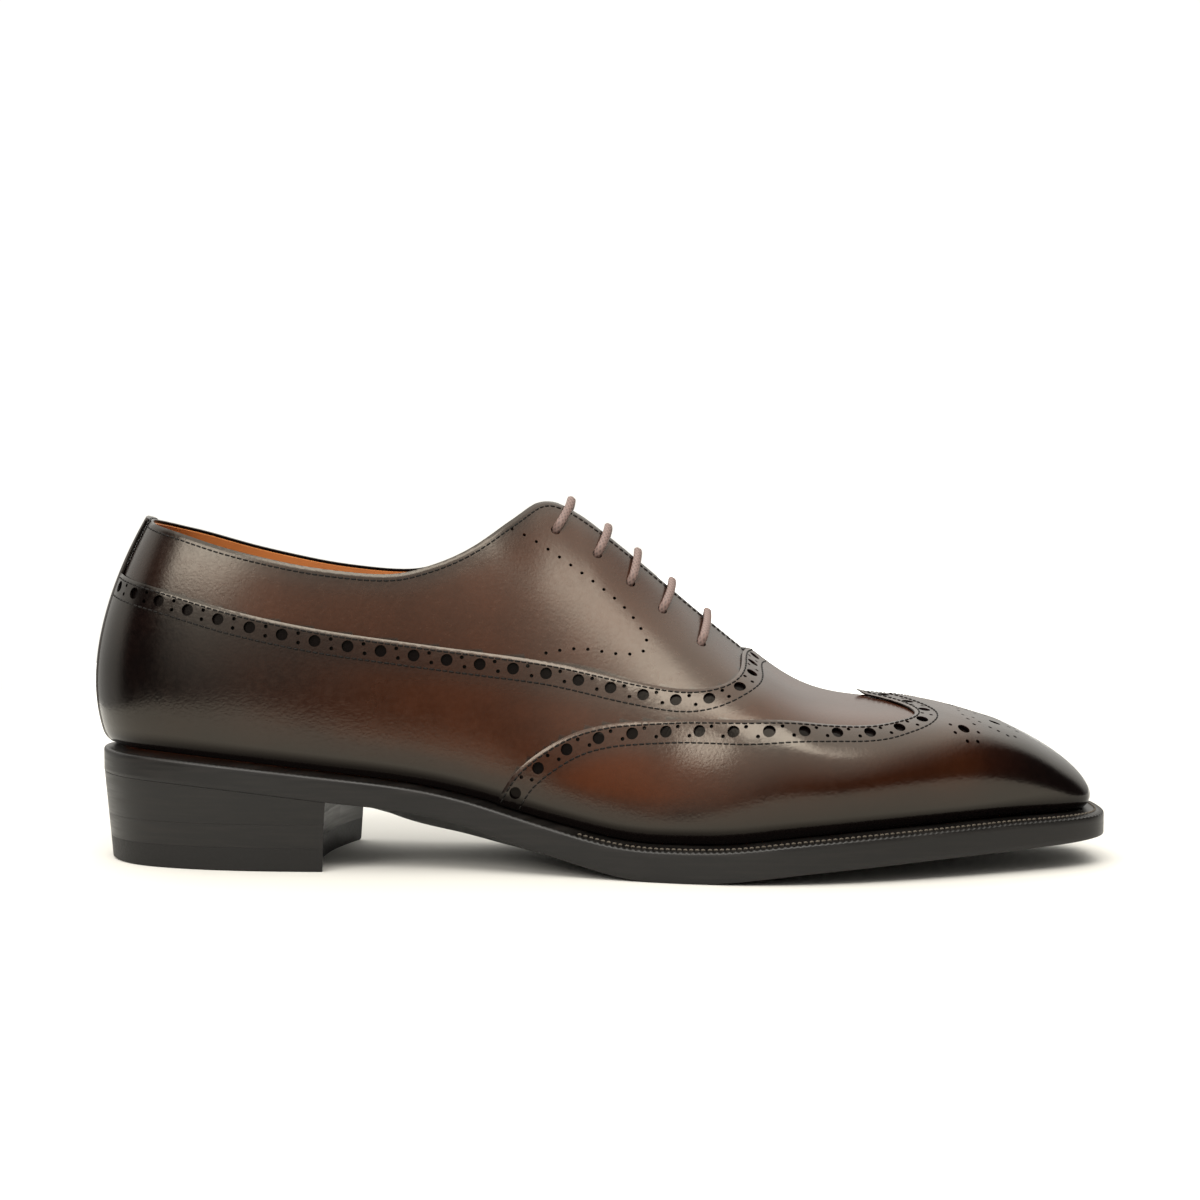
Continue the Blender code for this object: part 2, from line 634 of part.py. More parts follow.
def plan_net(lateral_places, medial_places, inset):
    """Plan points between the two sides of the outline, with the sole's sizes there."""
    lateral = LAST.edge(lateral_places, inset(lateral_places))
    medial = LAST.edge(medial_places, inset(medial_places))
    share = np.linspace(0.0, 1.0, PLATE_COLUMNS)
    flat = lateral[0][:, None] * (1.0 - share)[None, :, None] + medial[0][:, None] * share[None, :, None]
    sizes = [
        low[:, None] * (1.0 - share) + high[:, None] * share for low, high in zip(lateral[1:4], medial[1:4])
    ]
    belly = sizes[2] * (1.0 - (2.0 * share - 1.0) ** 2)
    return flat, sizes[0], sizes[1], belly


def lifted(flat, level):
    """Plan points at a height."""
    return np.concatenate([flat, level[..., None]], axis=-1)


def add_outsole(parts):
    """Leather sole with toe spring, arch and a rounded waist."""
    places = sole_stations()
    flat, rise, thick, belly = plan_net(places, 2.0 * LAST.half - places, np.zeros_like)
    top = lifted(flat, rise + thick - WELT_THICK - GAP)
    plate("outsole", top, lifted(flat, rise - belly), "edge_leather", parts)


def add_insole(parts):
    """Insole on the outsole, inside the welt."""
    places = sole_stations()

    def inset(place):
        return LAST.reach(place) + INSOLE_CLEAR

    flat, rise, thick, _ = plan_net(places, 2.0 * LAST.half - places, inset)
    bottom = rise + thick - WELT_THICK
    plate("insole", lifted(flat, bottom + INSOLE_THICK), lifted(flat, bottom), "sock_leather", parts)


def add_welt(parts):
    """The strip between the outsole and the upper, all the way round."""
    places = sole_stations()
    places = np.concatenate([places[:-1], 2.0 * LAST.half - places[:0:-1]])
    outer, rise, thick, _, _ = LAST.edge(places)
    inner = LAST.edge(places, LAST.reach(places) + WELT_TUCK)[0]
    base = rise + thick - WELT_THICK
    rings = [
        lifted(outer, base), lifted(outer, rise + thick),
        lifted(inner, rise + thick + WELT_FALL), lifted(inner, base),
    ]
    points = np.stack(rings, axis=1).reshape(-1, 3)
    count, corners = len(places), len(rings)
    faces = []
    for row in range(count):
        after = (row + 1) % count
        for corner in range(corners):
            beside = (corner + 1) % corners
            faces.append([
                row * corners + corner, after * corners + corner,
                after * corners + beside, row * corners + beside,
            ])
    mesh_object("welt", points, faces, "edge_leather", parts)


def breast_place(sign):
    """Where the heel's breast meets the outline on one side."""
    places = np.linspace(0.0, LAST.half / 2.0, 1500)
    flat = LAST.edge(places if sign < 0.0 else 2.0 * LAST.half - places)[0]
    return np.interp(0.0, flat[:, 0] - BREAST_X - BREAST_SKEW * flat[:, 1], places)


def heel_net(level):
    """Plan points of the heel at a height: tapered, with a hollow breast."""
    taper = HEEL_TAPER * (1.0 - level / HEEL_HEIGHT)
    share = np.linspace(0.0, 1.0, HEEL_ROWS)
    lateral = breast_place(-1.0) * share
    medial = 2.0 * LAST.half - breast_place(1.0) * share
    flat, _, _, _ = plan_net(lateral, medial, lambda place: np.full_like(place, taper))
    across_heel = np.linspace(-1.0, 1.0, PLATE_COLUMNS)
    flat[..., 0] -= share[:, None] ** 2 * (BREAST_HOLLOW * (1.0 - across_heel**2) + taper / 2.0)
    return flat


def add_heel(parts):
    """Stacked heel: seat lift, middle lift and rubber top piece."""
    places = sole_stations()
    edge, rise, _, _, _ = LAST.edge(places)
    seat = heel_net(HEEL_HEIGHT)
    seat_top = lifted(seat, np.interp(seat[..., 0], edge[:, 0], rise) - GAP)
    upper_joint, lower_joint = LIFT_JOINTS

    def layer(level):
        flat = heel_net(level)
        return lifted(flat, np.full(flat.shape[:2], level))

    plate("heel_seat_lift", seat_top, layer(upper_joint + GAP / 2.0), "edge_leather", parts)
    middle_top, middle_foot = layer(upper_joint - GAP / 2.0), layer(lower_joint + GAP / 2.0)
    plate("heel_mid_lift", middle_top, middle_foot, "edge_leather", parts)
    plate("heel_top_piece", layer(lower_joint - GAP / 2.0), layer(0.0), "tread_rubber", parts)


def add_lace_bars(parts):
    """The five straight bars of the lace, each from its lateral hole over the ridge to its medial hole."""
    holes = LAST.locate([(row.hole_x, row.hole_z) for row in LACE_ROWS], SIDE_VIEW)
    for number, (row, hole) in enumerate(zip(LACE_ROWS, holes), start=1):
        middle = np.array([LAST.ridge_place(row.ridge_x), 1.0])
        side = np.linspace(hole, middle, LACE_STEPS + 1)
        other = np.column_stack([2.0 * LAST.half - side[-2::-1, 0], side[-2::-1, 1]])
        path = np.vstack([side, other])
        points = LAST.offset(path[:, 0], path[:, 1], LACE_RADIUS + GAP)
        curve = bpy.data.curves.new("lace_bar_%d" % number, "CURVE")
        curve.dimensions = "3D"
        curve.bevel_depth = LACE_RADIUS * MM
        curve.bevel_resolution = 2
        curve.use_fill_caps = True
        line = curve.splines.new("POLY")
        line.points.add(len(points) - 1)
        for knot, point in zip(line.points, points):
            knot.co = (*((point - ORIGIN) * MM), 1.0)
        line.use_smooth = True
        place_object(curve.name, curve, "waxed_lace", parts)


def main():
    for thing in list(bpy.data.objects):
        bpy.data.objects.remove(thing)
    collection = bpy.data.collections.new("wingtip_oxford")
    bpy.context.scene.collection.children.link(collection)
    root = bpy.data.objects.new("shoe", None)
    collection.objects.link(root)
    parts = (collection, root)
    add_outsole(parts)
    add_welt(parts)
    add_heel(parts)
    add_insole(parts)
    sheet = Sheet()
    leather_panel(sheet, "upper", 0.0, WALL, "calf_mid", parts)
    leather_panel(sheet, "vamp_foxing", FOXING_LEVEL, OVERLAY, "calf_brown", parts)
    leather_panel(sheet, "wing_cap", WING_LEVEL, OVERLAY, "calf_dark", parts)
    leather_panel(sheet, "back_strip", STRIP_LEVEL, STRIP_THICK, "calf_dark", parts)
    leather_panel(sheet, "tongue", -WALL - GAP, TONGUE_THICK, "calf_mid", parts)
    add_lace_bars(parts)


if __name__ == "__main__":
    main()
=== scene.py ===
"""Looks of the wingtip oxford: leather panels with punched holes and stitching, laces, welt and sole."""

import math
from collections import namedtuple

import bpy
import numpy as np
from mathutils import Matrix, Quaternion, Vector
from mathutils.geometry import delaunay_2d_cdt
from mathutils.kdtree import KDTree


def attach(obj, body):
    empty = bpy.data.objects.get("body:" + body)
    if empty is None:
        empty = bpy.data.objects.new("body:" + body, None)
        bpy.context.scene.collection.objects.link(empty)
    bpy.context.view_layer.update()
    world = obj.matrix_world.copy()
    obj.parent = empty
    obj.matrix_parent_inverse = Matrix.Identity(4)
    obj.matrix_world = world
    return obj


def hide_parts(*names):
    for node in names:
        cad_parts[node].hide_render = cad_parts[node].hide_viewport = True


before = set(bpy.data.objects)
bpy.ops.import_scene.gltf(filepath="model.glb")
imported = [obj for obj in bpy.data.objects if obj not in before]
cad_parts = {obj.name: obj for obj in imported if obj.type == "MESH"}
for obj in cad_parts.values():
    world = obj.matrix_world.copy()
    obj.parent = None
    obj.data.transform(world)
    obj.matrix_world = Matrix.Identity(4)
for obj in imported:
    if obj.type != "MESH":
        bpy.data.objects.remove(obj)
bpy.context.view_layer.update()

bl_info = {
    "name": "Wingtip Oxford",
    "version": (1, 0, 0),
    "blender": (4, 5, 0),
    "location": "View3D > Sidebar > Shoe",
    "description": "Dresses the solids of a wingtip oxford in punched and stitched calf leather",
    "category": "Object",
}

MM = 0.001
BODY = "root"

# The last, as in the part's source: sizes in millimetres, heel's back at x = 0, toe to +X, lateral to -Y.
# Only the sole's run from x = 144 to 176 is smoother here, by less than 2 mm
LENGTH = 304.5
GAP = 0.3
WALL = 2.0
OVERLAY = 0.8
STRIP_THICK = 1.2
WELT_THICK = 3.0
WELT_TUCK = 2.4
WELT_FALL = 1.2
INSOLE_THICK = 4.6
INSOLE_CLEAR = 2.7
TONGUE_THICK = 1.6
HEEL_HEIGHT = 26.8
BREAST_X = 74.5
BREAST_HOLLOW = 5.0
BREAST_SKEW = 0.05
HEEL_TAPER = 2.4
LIFT_JOINTS = (14.0, 7.0)
SLOT_HALF_TOP = 3.3
SLOT_HALF_END = 1.6
SLOT_X = (143.0, 199.5)
TONGUE_X = (142.6, 214.0)
TONGUE_HALF = 19.0
STRIP_HALF = 8.5
TOE_SWING = 2.8
GIRTH = 85.0
TOE_END_X = 271.9

SoleRow = namedtuple("SoleRow", "x lateral medial rise thick reach crown")
SOLE_ROWS = [SoleRow(*row) for row in (
    (0.0, 0.0, 0.0, 26.8, 7.1, 2.7, 0.0),
    (4.0, 13.5, 13.5, 26.6, 7.1, 2.7, 0.0),
    (12.0, 22.5, 22.5, 26.3, 7.0, 2.8, 0.0),
    (25.0, 29.0, 29.0, 25.6, 7.0, 2.9, 0.0),
    (40.0, 32.8, 32.5, 24.4, 7.0, 3.0, 0.0),
    (58.0, 34.6, 33.0, 22.5, 7.1, 3.1, 0.0),
    (76.0, 34.9, 31.0, 20.4, 7.2, 3.2, 0.0),
    (95.0, 34.6, 28.0, 18.2, 7.0, 3.2, 6.0),
    (112.0, 35.2, 26.5, 14.6, 7.2, 3.6, 6.5),
    (128.0, 37.4, 27.0, 9.2, 8.0, 4.6, 4.5),
    (144.0, 41.0, 30.0, 4.6, 8.2, 5.8, 1.5),
    (160.0, 45.2, 35.0, 0.8, 8.8, 6.6, 0.0),
    (176.0, 49.2, 40.5, 0.0, 9.1, 6.9, 0.0),
    (192.0, 52.0, 45.0, 0.9, 8.9, 7.0, 0.0),
    (206.0, 52.6, 48.0, 2.6, 8.7, 7.0, 0.0),
    (220.0, 51.2, 49.3, 4.0, 8.5, 7.0, 0.0),
    (234.0, 47.8, 48.5, 5.0, 8.4, 7.0, 0.0),
    (248.0, 43.0, 46.0, 5.9, 8.2, 7.0, 0.0),
    (262.0, 37.3, 41.8, 6.6, 8.1, 7.0, 0.0),
    (275.0, 31.5, 36.4, 7.2, 8.0, 6.9, 0.0),
    (286.0, 26.2, 30.8, 7.7, 7.6, 6.7, 0.0),
    (295.0, 20.8, 25.4, 8.2, 7.2, 6.5, 0.0),
    (301.0, 15.2, 20.0, 8.7, 6.9, 6.4, 0.0),
    (304.5, 0.0, 0.0, 8.9, 6.8, 6.4, 0.0),
)]

UpperRow = namedtuple(
    "UpperRow", "top_x top_half top_z swing out_lateral out_medial up hang_x hang_side hang_z"
)
UPPER_ROWS = [UpperRow(*row) for row in (
    (20.4, 0.0, 112.0, 0.0, 10.0, 10.0, 21.5, -15.4, 0.0, -22.0),
    (21.2, 6.5, 111.8, 0.0, 9.4, 9.4, 21.5, -12.2, 6.6, -22.0),
    (24.0, 12.0, 111.4, 0.0, 7.8, 7.8, 21.5, -7.5, 9.2, -22.0),
    (32.0, 17.2, 111.0, 0.0, 5.4, 5.4, 22.0, -2.7, 9.0, -22.0),
    (45.0, 20.6, 110.5, 0.0, 3.8, 3.9, 22.5, -0.5, 7.8, -22.0),
    (60.5, 22.3, 110.0, 0.0, 2.6, 3.2, 23.0, 0.0, 6.6, -22.0),
    (74.5, 22.4, 109.8, 0.0, 1.8, 3.5, 24.0, 0.3, 6.0, -22.0),
    (89.5, 21.0, 110.2, 0.0, 1.5, 5.0, 25.0, 1.0, 7.0, -21.0),
    (103.5, 17.8, 111.5, 0.0, 1.5, 6.0, 27.0, 2.0, 9.5, -20.0),
    (117.0, 12.0, 113.8, 0.0, 1.6, 6.0, 29.0, 3.0, 12.5, -16.0),
    (129.0, 3.4, 114.6, 0.0, 2.0, 5.0, 30.0, 3.5, 12.5, -10.0),
    (142.0, 0.0, 108.5, 0.0, 2.3, 4.0, 30.0, 2.5, 11.5, -5.0),
    (157.5, 0.0, 97.0, 0.0, 2.6, 3.5, 29.0, 1.5, 11.5, -5.0),
    (176.0, 0.0, 81.2, 0.3, 5.0, 4.2, 35.0, 0.5, 15.0, -7.0),
    (193.0, 0.0, 66.5, 0.9, 6.2, 5.2, 36.5, 0.5, 24.5, -7.5),
    (210.5, 0.0, 53.8, 1.5, 6.2, 5.6, 31.5, 0.5, 31.0, -5.0),
    (227.0, 0.0, 48.9, 2.2, 6.2, 5.8, 28.5, 0.0, 33.5, -3.2),
    (242.5, 0.0, 47.4, 2.9, 6.0, 6.0, 28.0, 0.0, 31.5, -3.0),
    (255.5, 0.0, 45.1, 3.4, 5.8, 5.8, 26.5, 0.0, 28.5, -1.9),
    (264.8, 0.0, 42.5, 3.7, 5.4, 5.4, 22.0, 2.0, 24.0, -1.8),
    (270.0, 0.0, 40.9, 3.9, 4.8, 4.8, 17.0, 6.0, 18.0, -2.8),
    (271.8, 0.0, 40.3, 4.0, 4.2, 4.2, 11.5, 10.0, 11.5, -4.3),
    (272.0, 0.0, 40.2, 4.0, 3.6, 3.6, 8.2, 13.0, 5.8, -5.6),
    (272.0, 0.0, 40.2, 4.0, 3.5, 3.5, 7.4, 14.0, 0.0, -6.0),
)]
POLE_ROW = 22
RIDGE_ROW = 11

# Edges of the panels as seen from the side, x and z, from the heel's back to the front
COLLAR_EDGE = (
    (14.9, 103.4), (28.0, 99.1), (40.5, 95.3), (53.0, 92.2), (64.5, 89.8), (76.5, 88.1), (88.0, 87.2),
    (94.0, 87.5), (100.0, 88.9), (105.5, 90.7), (111.5, 93.3), (117.0, 96.5), (123.0, 100.9),
    (128.5, 105.0), (132.0, 107.6), (135.0, 108.7),
)
BAND_EDGE = (
    (5.0, 87.2), (9.0, 86.2), (24.0, 82.4), (40.0, 77.9), (58.0, 73.6), (75.0, 70.4), (91.0, 68.1),
    (111.0, 65.4), (134.5, 62.2), (155.5, 57.9), (170.5, 54.9), (181.5, 54.3), (189.0, 55.8),
    (194.0, 59.5), (196.5, 64.0),
)
BAND_PEAK_X = 197.0
WING_EDGE = (
    (122.3, 20.0), (127.5, 28.8), (135.0, 35.6), (144.0, 40.9), (153.5, 43.8), (164.0, 45.1),
    (177.0, 45.9), (199.2, 46.2), (211.0, 45.6),
)
# The wing's edge goes on as seen from above: x, and distance from the ridge
WING_PEAK = (
    (221.4, 38.0), (228.7, 36.6), (234.2, 34.8), (239.0, 32.0), (243.2, 28.6), (245.4, 24.6),
    (245.4, 20.0), (243.0, 14.0), (239.0, 8.2), (234.8, 4.2),
)
WING_PEAK_X = 230.0

LaceRow = namedtuple("LaceRow", "hole_x hole_z ridge_x")
LACE_ROWS = [LaceRow(*row) for row in (
    (139.0, 99.9, 142.7),
    (151.5, 92.7, 153.9),
    (161.5, 84.2, 162.9),
    (171.0, 76.2, 173.3),
    (182.5, 66.6, 184.1),
)]

# Line of the small holes on the quarter, x and z as seen from the side
FACING_PINS = (
    (126.2, 100.3), (139.9, 92.2), (153.4, 82.5), (162.9, 73.5), (166.5, 67.2), (162.1, 63.8),
    (148.6, 65.2), (136.9, 64.1),
)
PIN_COUNT = 22

MedallionHole = namedtuple("MedallionHole", "x side big")
# Toe ornament: x, distance from the ridge as seen from above, and whether the hole is a large one
MEDALLION = [MedallionHole(*row) for row in (
    (259.0, 0.0, True),
    (259.1, 30.0, True),
    (270.8, 12.9, True),
    (255.2, 29.8, False),
    (256.2, 33.0, False),
    (259.6, 34.2, False),
    (262.8, 32.8, False),
    (263.5, 29.2, False),
    (262.9, 24.8, False),
    (261.6, 21.0, False),
    (260.7, 16.8, False),
    (260.3, 10.4, False),
    (260.8, 5.2, False),
    (263.8, 2.6, False),
    (265.9, 5.4, False),
    (263.8, 16.6, False),
    (265.2, 20.2, False),
    (269.6, 2.4, False),
    (268.0, 22.4, False),
    (270.4, 22.8, False),
    (273.1, 23.2, False),
    (275.6, 21.2, False),
    (277.5, 13.2, False),
    (277.5, 7.9, False),
    (275.4, 11.1, False),
)]


class LoopSpline:
    """A closed smooth curve through rows of values, with its slope."""

    def __init__(self, knots, values, period):
        self.knots = np.append(knots, knots[0] + period)
        self.values = np.vstack([values, values[:1]])
        self.period = period
        step = np.diff(self.knots)
        count = len(knots)
        slopes = np.diff(self.values, axis=0) / step[:, None]
        matrix = np.zeros((count, count))
        right = np.zeros_like(values)
        for row in range(count):
            before = row - 1
            after = (row + 1) % count
            matrix[row, before] += step[before]
            matrix[row, row] += 2.0 * (step[before] + step[row])
            matrix[row, after] += step[row]
            right[row] = 6.0 * (slopes[row] - slopes[before])
        bends = np.linalg.solve(matrix, right)
        self.bends = np.vstack([bends, bends[:1]])

    def at(self, place):
        place = np.mod(np.asarray(place, float), self.period)
        piece = np.clip(np.searchsorted(self.knots, place, side="right") - 1, 0, len(self.knots) - 2)
        step = (self.knots[piece + 1] - self.knots[piece])[..., None]
        near = (place - self.knots[piece])[..., None]
        far = step - near
        low, high = self.values[piece], self.values[piece + 1]
        bend_low, bend_high = self.bends[piece], self.bends[piece + 1]
        value = (
            (bend_low * far**3 + bend_high * near**3) / (6.0 * step)
            + (low / step - bend_low * step / 6.0) * far
            + (high / step - bend_high * step / 6.0) * near
        )
        slope = (
            (bend_high * near**2 - bend_low * far**2) / (2.0 * step)
            + (high - low) / step
            - (bend_high - bend_low) * step / 6.0
        )
        return value, slope


def run_of(points):
    """Distance along a row of points."""
    return np.concatenate([[0.0], np.cumsum(np.linalg.norm(np.diff(points, axis=0), axis=1))])


def open_curve(points, step):
    """Points about a step apart on a smooth curve through a few, straight at both ends."""
    points = np.asarray(points, float)
    chord = np.linalg.norm(np.diff(points, axis=0), axis=1)
    knots = run_of(points)
    count = len(points)
    matrix = np.eye(count)
    right = np.zeros_like(points)
    for row in range(1, count - 1):
        matrix[row, row - 1] = chord[row - 1]
        matrix[row, row] = 2.0 * (chord[row - 1] + chord[row])
        matrix[row, row + 1] = chord[row]
        ahead = (points[row + 1] - points[row]) / chord[row]
        behind = (points[row] - points[row - 1]) / chord[row - 1]
        right[row] = 6.0 * (ahead - behind)
    bends = np.linalg.solve(matrix, right)
    places = np.linspace(0.0, knots[-1], max(2, int(round(knots[-1] / step)) + 1))
    piece = np.clip(np.searchsorted(knots, places, side="right") - 1, 0, count - 2)
    length = chord[piece][:, None]
    near = (places - knots[piece])[:, None]
    far = length - near
    return (
        (bends[piece] * far**3 + bends[piece + 1] * near**3) / (6.0 * length)
        + (points[piece] / length - bends[piece] * length / 6.0) * far
        + (points[piece + 1] / length - bends[piece + 1] * length / 6.0) * near
    )


class Last:
    """The foot's form. A point on it has a place round the sole's edge and a height between 0 and 1.

    The place runs in millimetres from the heel's back along the lateral side to the toe, and back along
    the medial side. Height 0 is the feather edge, where the upper meets the welt, and 1 is the top rail.
    """

    def __init__(self):
        rows = len(SOLE_ROWS)
        sides = []
        for sign in (-1.0, 1.0):
            side = []
            for sole, upper in zip(SOLE_ROWS, UPPER_ROWS):
                half = sole.lateral if sign < 0.0 else sole.medial
                out = upper.out_lateral if sign < 0.0 else upper.out_medial
                edge_y = TOE_SWING if sole is SOLE_ROWS[-1] else sign * half
                side.append((
                    sole.x, edge_y, sole.rise, sole.thick, sole.reach, sole.crown,
                    upper.top_x, sign * upper.top_half + upper.swing, upper.top_z, out, upper.up,
                    upper.hang_x, sign * upper.hang_side, upper.hang_z,
                ))
            sides.append(np.array(side))
        lateral, medial = sides
        chord = [np.linalg.norm(np.diff(side[:, :2], axis=0), axis=1) for side in sides]
        marks = np.concatenate([[0.0], np.cumsum((chord[0] + chord[1]) / 2.0)])
        self.half = marks[-1]
        self.whole = 2.0 * self.half
        self.pole = marks[POLE_ROW]
        self.ridge_start = marks[RIDGE_ROW]
        knots = np.concatenate([marks, self.whole - marks[rows - 2:0:-1]])
        values = np.vstack([lateral, medial[rows - 2:0:-1]])
        self.spline = LoopSpline(knots, values, self.whole)
        self.pole_values = lateral[POLE_ROW, 6:9]

    def edge(self, place, reach=0.0):
        """The sole's outline, set in by a distance: plan, lower height, thickness, crown, way out."""
        value, slope = self.spline.at(place)
        along = slope[..., :2] / np.linalg.norm(slope[..., :2], axis=-1, keepdims=True)
        out = np.stack([along[..., 1], -along[..., 0]], axis=-1)
        flat = value[..., :2] - out * np.asarray(reach)[..., None]
        rise = np.maximum(value[..., 2], 0.0)
        crown = np.maximum(value[..., 5], 0.0)
        return flat, rise, value[..., 3], crown, out

    def reach(self, place):
        """How far the welt reaches past the upper."""
        return self.spline.at(place)[0][..., 4]

    def fold(self, place):
        """The lateral place that mirrors a place of either side."""
        place = np.mod(place, self.whole)
        return np.minimum(place, self.whole - place)

    def surface(self, place, height):
        """Points on the upper's base form."""
        place = np.asarray(place, float)
        height = np.asarray(height, float)[..., None]
        value, _ = self.spline.at(place)
        flat, rise, thick, _, out = self.edge(place, value[..., 4])
        feather = np.concatenate([flat, (rise + thick + WELT_FALL + GAP)[..., None]], axis=-1)
        low = feather.copy()
        low[..., :2] += out * value[..., 9:10]
        low[..., 2] += value[..., 10]
        folded = self.fold(place)
        top = value[..., 6:9].copy()
        middle = (top[..., 1] + self.spline.at(-place)[0][..., 7]) / 2.0
        top[..., 1] = np.where(folded >= self.ridge_start, middle, top[..., 1])
        top = np.where((folded >= self.pole)[..., None], self.pole_values, top)
        high = top + value[..., 11:14]
        rest = 1.0 - height
        return (
            rest**3 * feather
            + 3.0 * rest**2 * height * low
            + 3.0 * rest * height**2 * high
            + height**3 * top
        )

    def slopes(self, place, height):
        """How a point moves with a step of its place and with a step of its height."""
        step_place, step_height = 0.05, 0.0005
        inner = np.clip(height, step_height, 0.99)
        along = self.surface(place + step_place, inner) - self.surface(place - step_place, inner)
        up = self.surface(place, inner + step_height) - self.surface(place, inner - step_height)
        return along / (2.0 * step_place), up / (2.0 * step_height)

    def side_normal(self, place, height):
        """Outward directions, from one side alone."""
        normal = np.cross(*self.slopes(place, height))
        return normal / np.linalg.norm(normal, axis=-1, keepdims=True)

    def normal(self, place, height):
        """Outward directions, the same from both sides where they meet on the ridge."""
        folded = self.fold(place)
        level = np.ones_like(height)
        toward = np.minimum(folded, self.pole)
        shared = self.side_normal(toward, level) + self.side_normal(-toward, level)
        shared /= np.linalg.norm(shared, axis=-1, keepdims=True)
        on_ridge = (height > 1.0 - 1e-6) & (folded >= self.ridge_start)
        return np.where(on_ridge[..., None], shared, self.side_normal(place, height))

    def offset(self, place, height, distance):
        """Points a distance outside the base form."""
        place = np.asarray(place, float)
        height = np.asarray(height, float)
        return self.surface(place, height) + self.normal(place, height) * distance

    def ridge_place(self, x):
        """The lateral place whose point on the ridge has a given x."""
        places = np.linspace(self.ridge_start, self.pole, 800)
        return np.interp(x, self.surface(places, np.ones_like(places))[:, 0], places)

    def height_from_ridge(self, place, distance):
        """The height at which a place's profile is a distance from the ridge."""
        heights = np.linspace(1.0, 0.3, 400)
        points = self.surface(np.full_like(heights, place), heights)
        return np.interp(distance, np.linalg.norm(points - points[0], axis=1), heights)

    def height_at_back(self, level):
        """The height on the heel's back line that lies at a given z."""
        heights = np.linspace(0.0, 1.0, 400)
        return np.interp(level, self.surface(np.zeros_like(heights), heights)[:, 2], heights)

    def locate(self, target, axes, distance=0.0):
        """Place and height of the lateral points that match a target on two axes."""
        target = np.asarray(target, float)
        places, heights = np.meshgrid(np.linspace(0.0, self.half, 161), np.linspace(0.0, 1.0, 61))
        net = self.offset(places.ravel(), heights.ravel(), distance)[:, axes]
        pick = np.argmin(((target[:, None, :] - net[None]) ** 2).sum(axis=2), axis=1)
        place, height = places.ravel()[pick], heights.ravel()[pick]
        for _ in range(12):
            here = self.offset(place, height, distance)[:, axes]
            by_place = (self.offset(place + 0.1, height, distance)[:, axes] - here) / 0.1
            by_height = (self.offset(place, height - 0.001, distance)[:, axes] - here) / -0.001
            miss = target - here
            det = by_place[:, 0] * by_height[:, 1] - by_place[:, 1] * by_height[:, 0]
            det = np.where(np.abs(det) < 1e-6, 1e-6, det)
            move_place = (miss[:, 0] * by_height[:, 1] - miss[:, 1] * by_height[:, 0]) / det
            move_height = (by_place[:, 0] * miss[:, 1] - by_place[:, 1] * miss[:, 0]) / det
            place = np.clip(place + np.clip(move_place, -4.0, 4.0), 0.0, self.half)
            height = np.clip(height + np.clip(move_height, -0.05, 0.05), 0.0, 1.0)
        return np.column_stack([place, height])


LAST = Last()
SIDE_VIEW = [0, 2]
TOP_VIEW = [0, 1]
FOXING_LEVEL = GAP + OVERLAY
WING_LEVEL = 2.0 * FOXING_LEVEL
STRIP_LEVEL = GAP + STRIP_THICK
SHEET = np.array([1.0, GIRTH])


def middle_of_box():
    """The middle of the shoe on the floor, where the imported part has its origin."""
    outline = LAST.edge(np.linspace(0.0, LAST.whole, 2000))[0]
    back = LAST.offset(np.zeros(9), np.linspace(0.0, 1.0, 9), STRIP_LEVEL)[:, 0].min()
    side = outline[:, 1]
    return np.array([(LENGTH + back) / 2.0, (side.min() + side.max()) / 2.0, 0.0])


ORIGIN = middle_of_box()
EDGE_STEP = 1.1
OUTLINE_STEP = 1.6
STRIP_STEP = 1.2
TUCK_DEPTH = 1.5
TUCK_REACH = 4.2


def sheet_curve(points, step=EDGE_STEP):
    """A smooth edge through places and heights, on the flat sheet that the panels are cut from."""
    return open_curve(np.asarray(points) * SHEET, step)


def on_last(flat):
    """Points and outward directions of the last under points of the sheet."""
    place, height = flat[:, 0], np.clip(flat[:, 1] / GIRTH, 0.0, 1.0)
    return LAST.surface(place, height), LAST.normal(place, height)


def moved(flat, direction):
    """Sheet points moved along directions that are given in space."""
    along, up = LAST.slopes(flat[:, 0], np.clip(flat[:, 1] / GIRTH, 0.0, 1.0))
    up = up / GIRTH
    aa, au, uu = (along * along).sum(1), (along * up).sum(1), (up * up).sum(1)
    da, du = (along * direction).sum(1), (up * direction).sum(1)
    det = aa * uu - au * au
    return flat + np.column_stack([(da * uu - du * au) / det, (du * aa - da * au) / det])


def inset(curve, distance):
    """A line beside an edge, on its right hand as it runs from heel to toe. It stops at the ridge."""
    points, normals = on_last(curve)
    along = np.gradient(points, axis=0)
    along /= np.linalg.norm(along, axis=1, keepdims=True)
    beside = moved(curve, -np.cross(normals, along) * distance)
    over = np.nonzero(beside[:, 1] > GIRTH)[0]
    if len(over) and over[0] > 0:
        last, first = beside[over[0]], beside[over[0] - 1]
        share = (GIRTH - first[1]) / (last[1] - first[1])
        beside = np.vstack([beside[:over[0]], first + share * (last - first)])
    under = beside[:, 1] < 0.0
    return beside[~under]


def lengths(curve):
    """Distance along a line on the last."""
    return run_of(on_last(curve)[0])


def at_lengths(curve, distances):
    """Sheet points at distances along a line."""
    run = lengths(curve)
    return np.column_stack([np.interp(distances, run, curve[:, axis]) for axis in (0, 1)])


def mirrored(flat):
    """The same points on the medial side."""
    return np.column_stack([LAST.whole - flat[:, 0], flat[:, 1]])


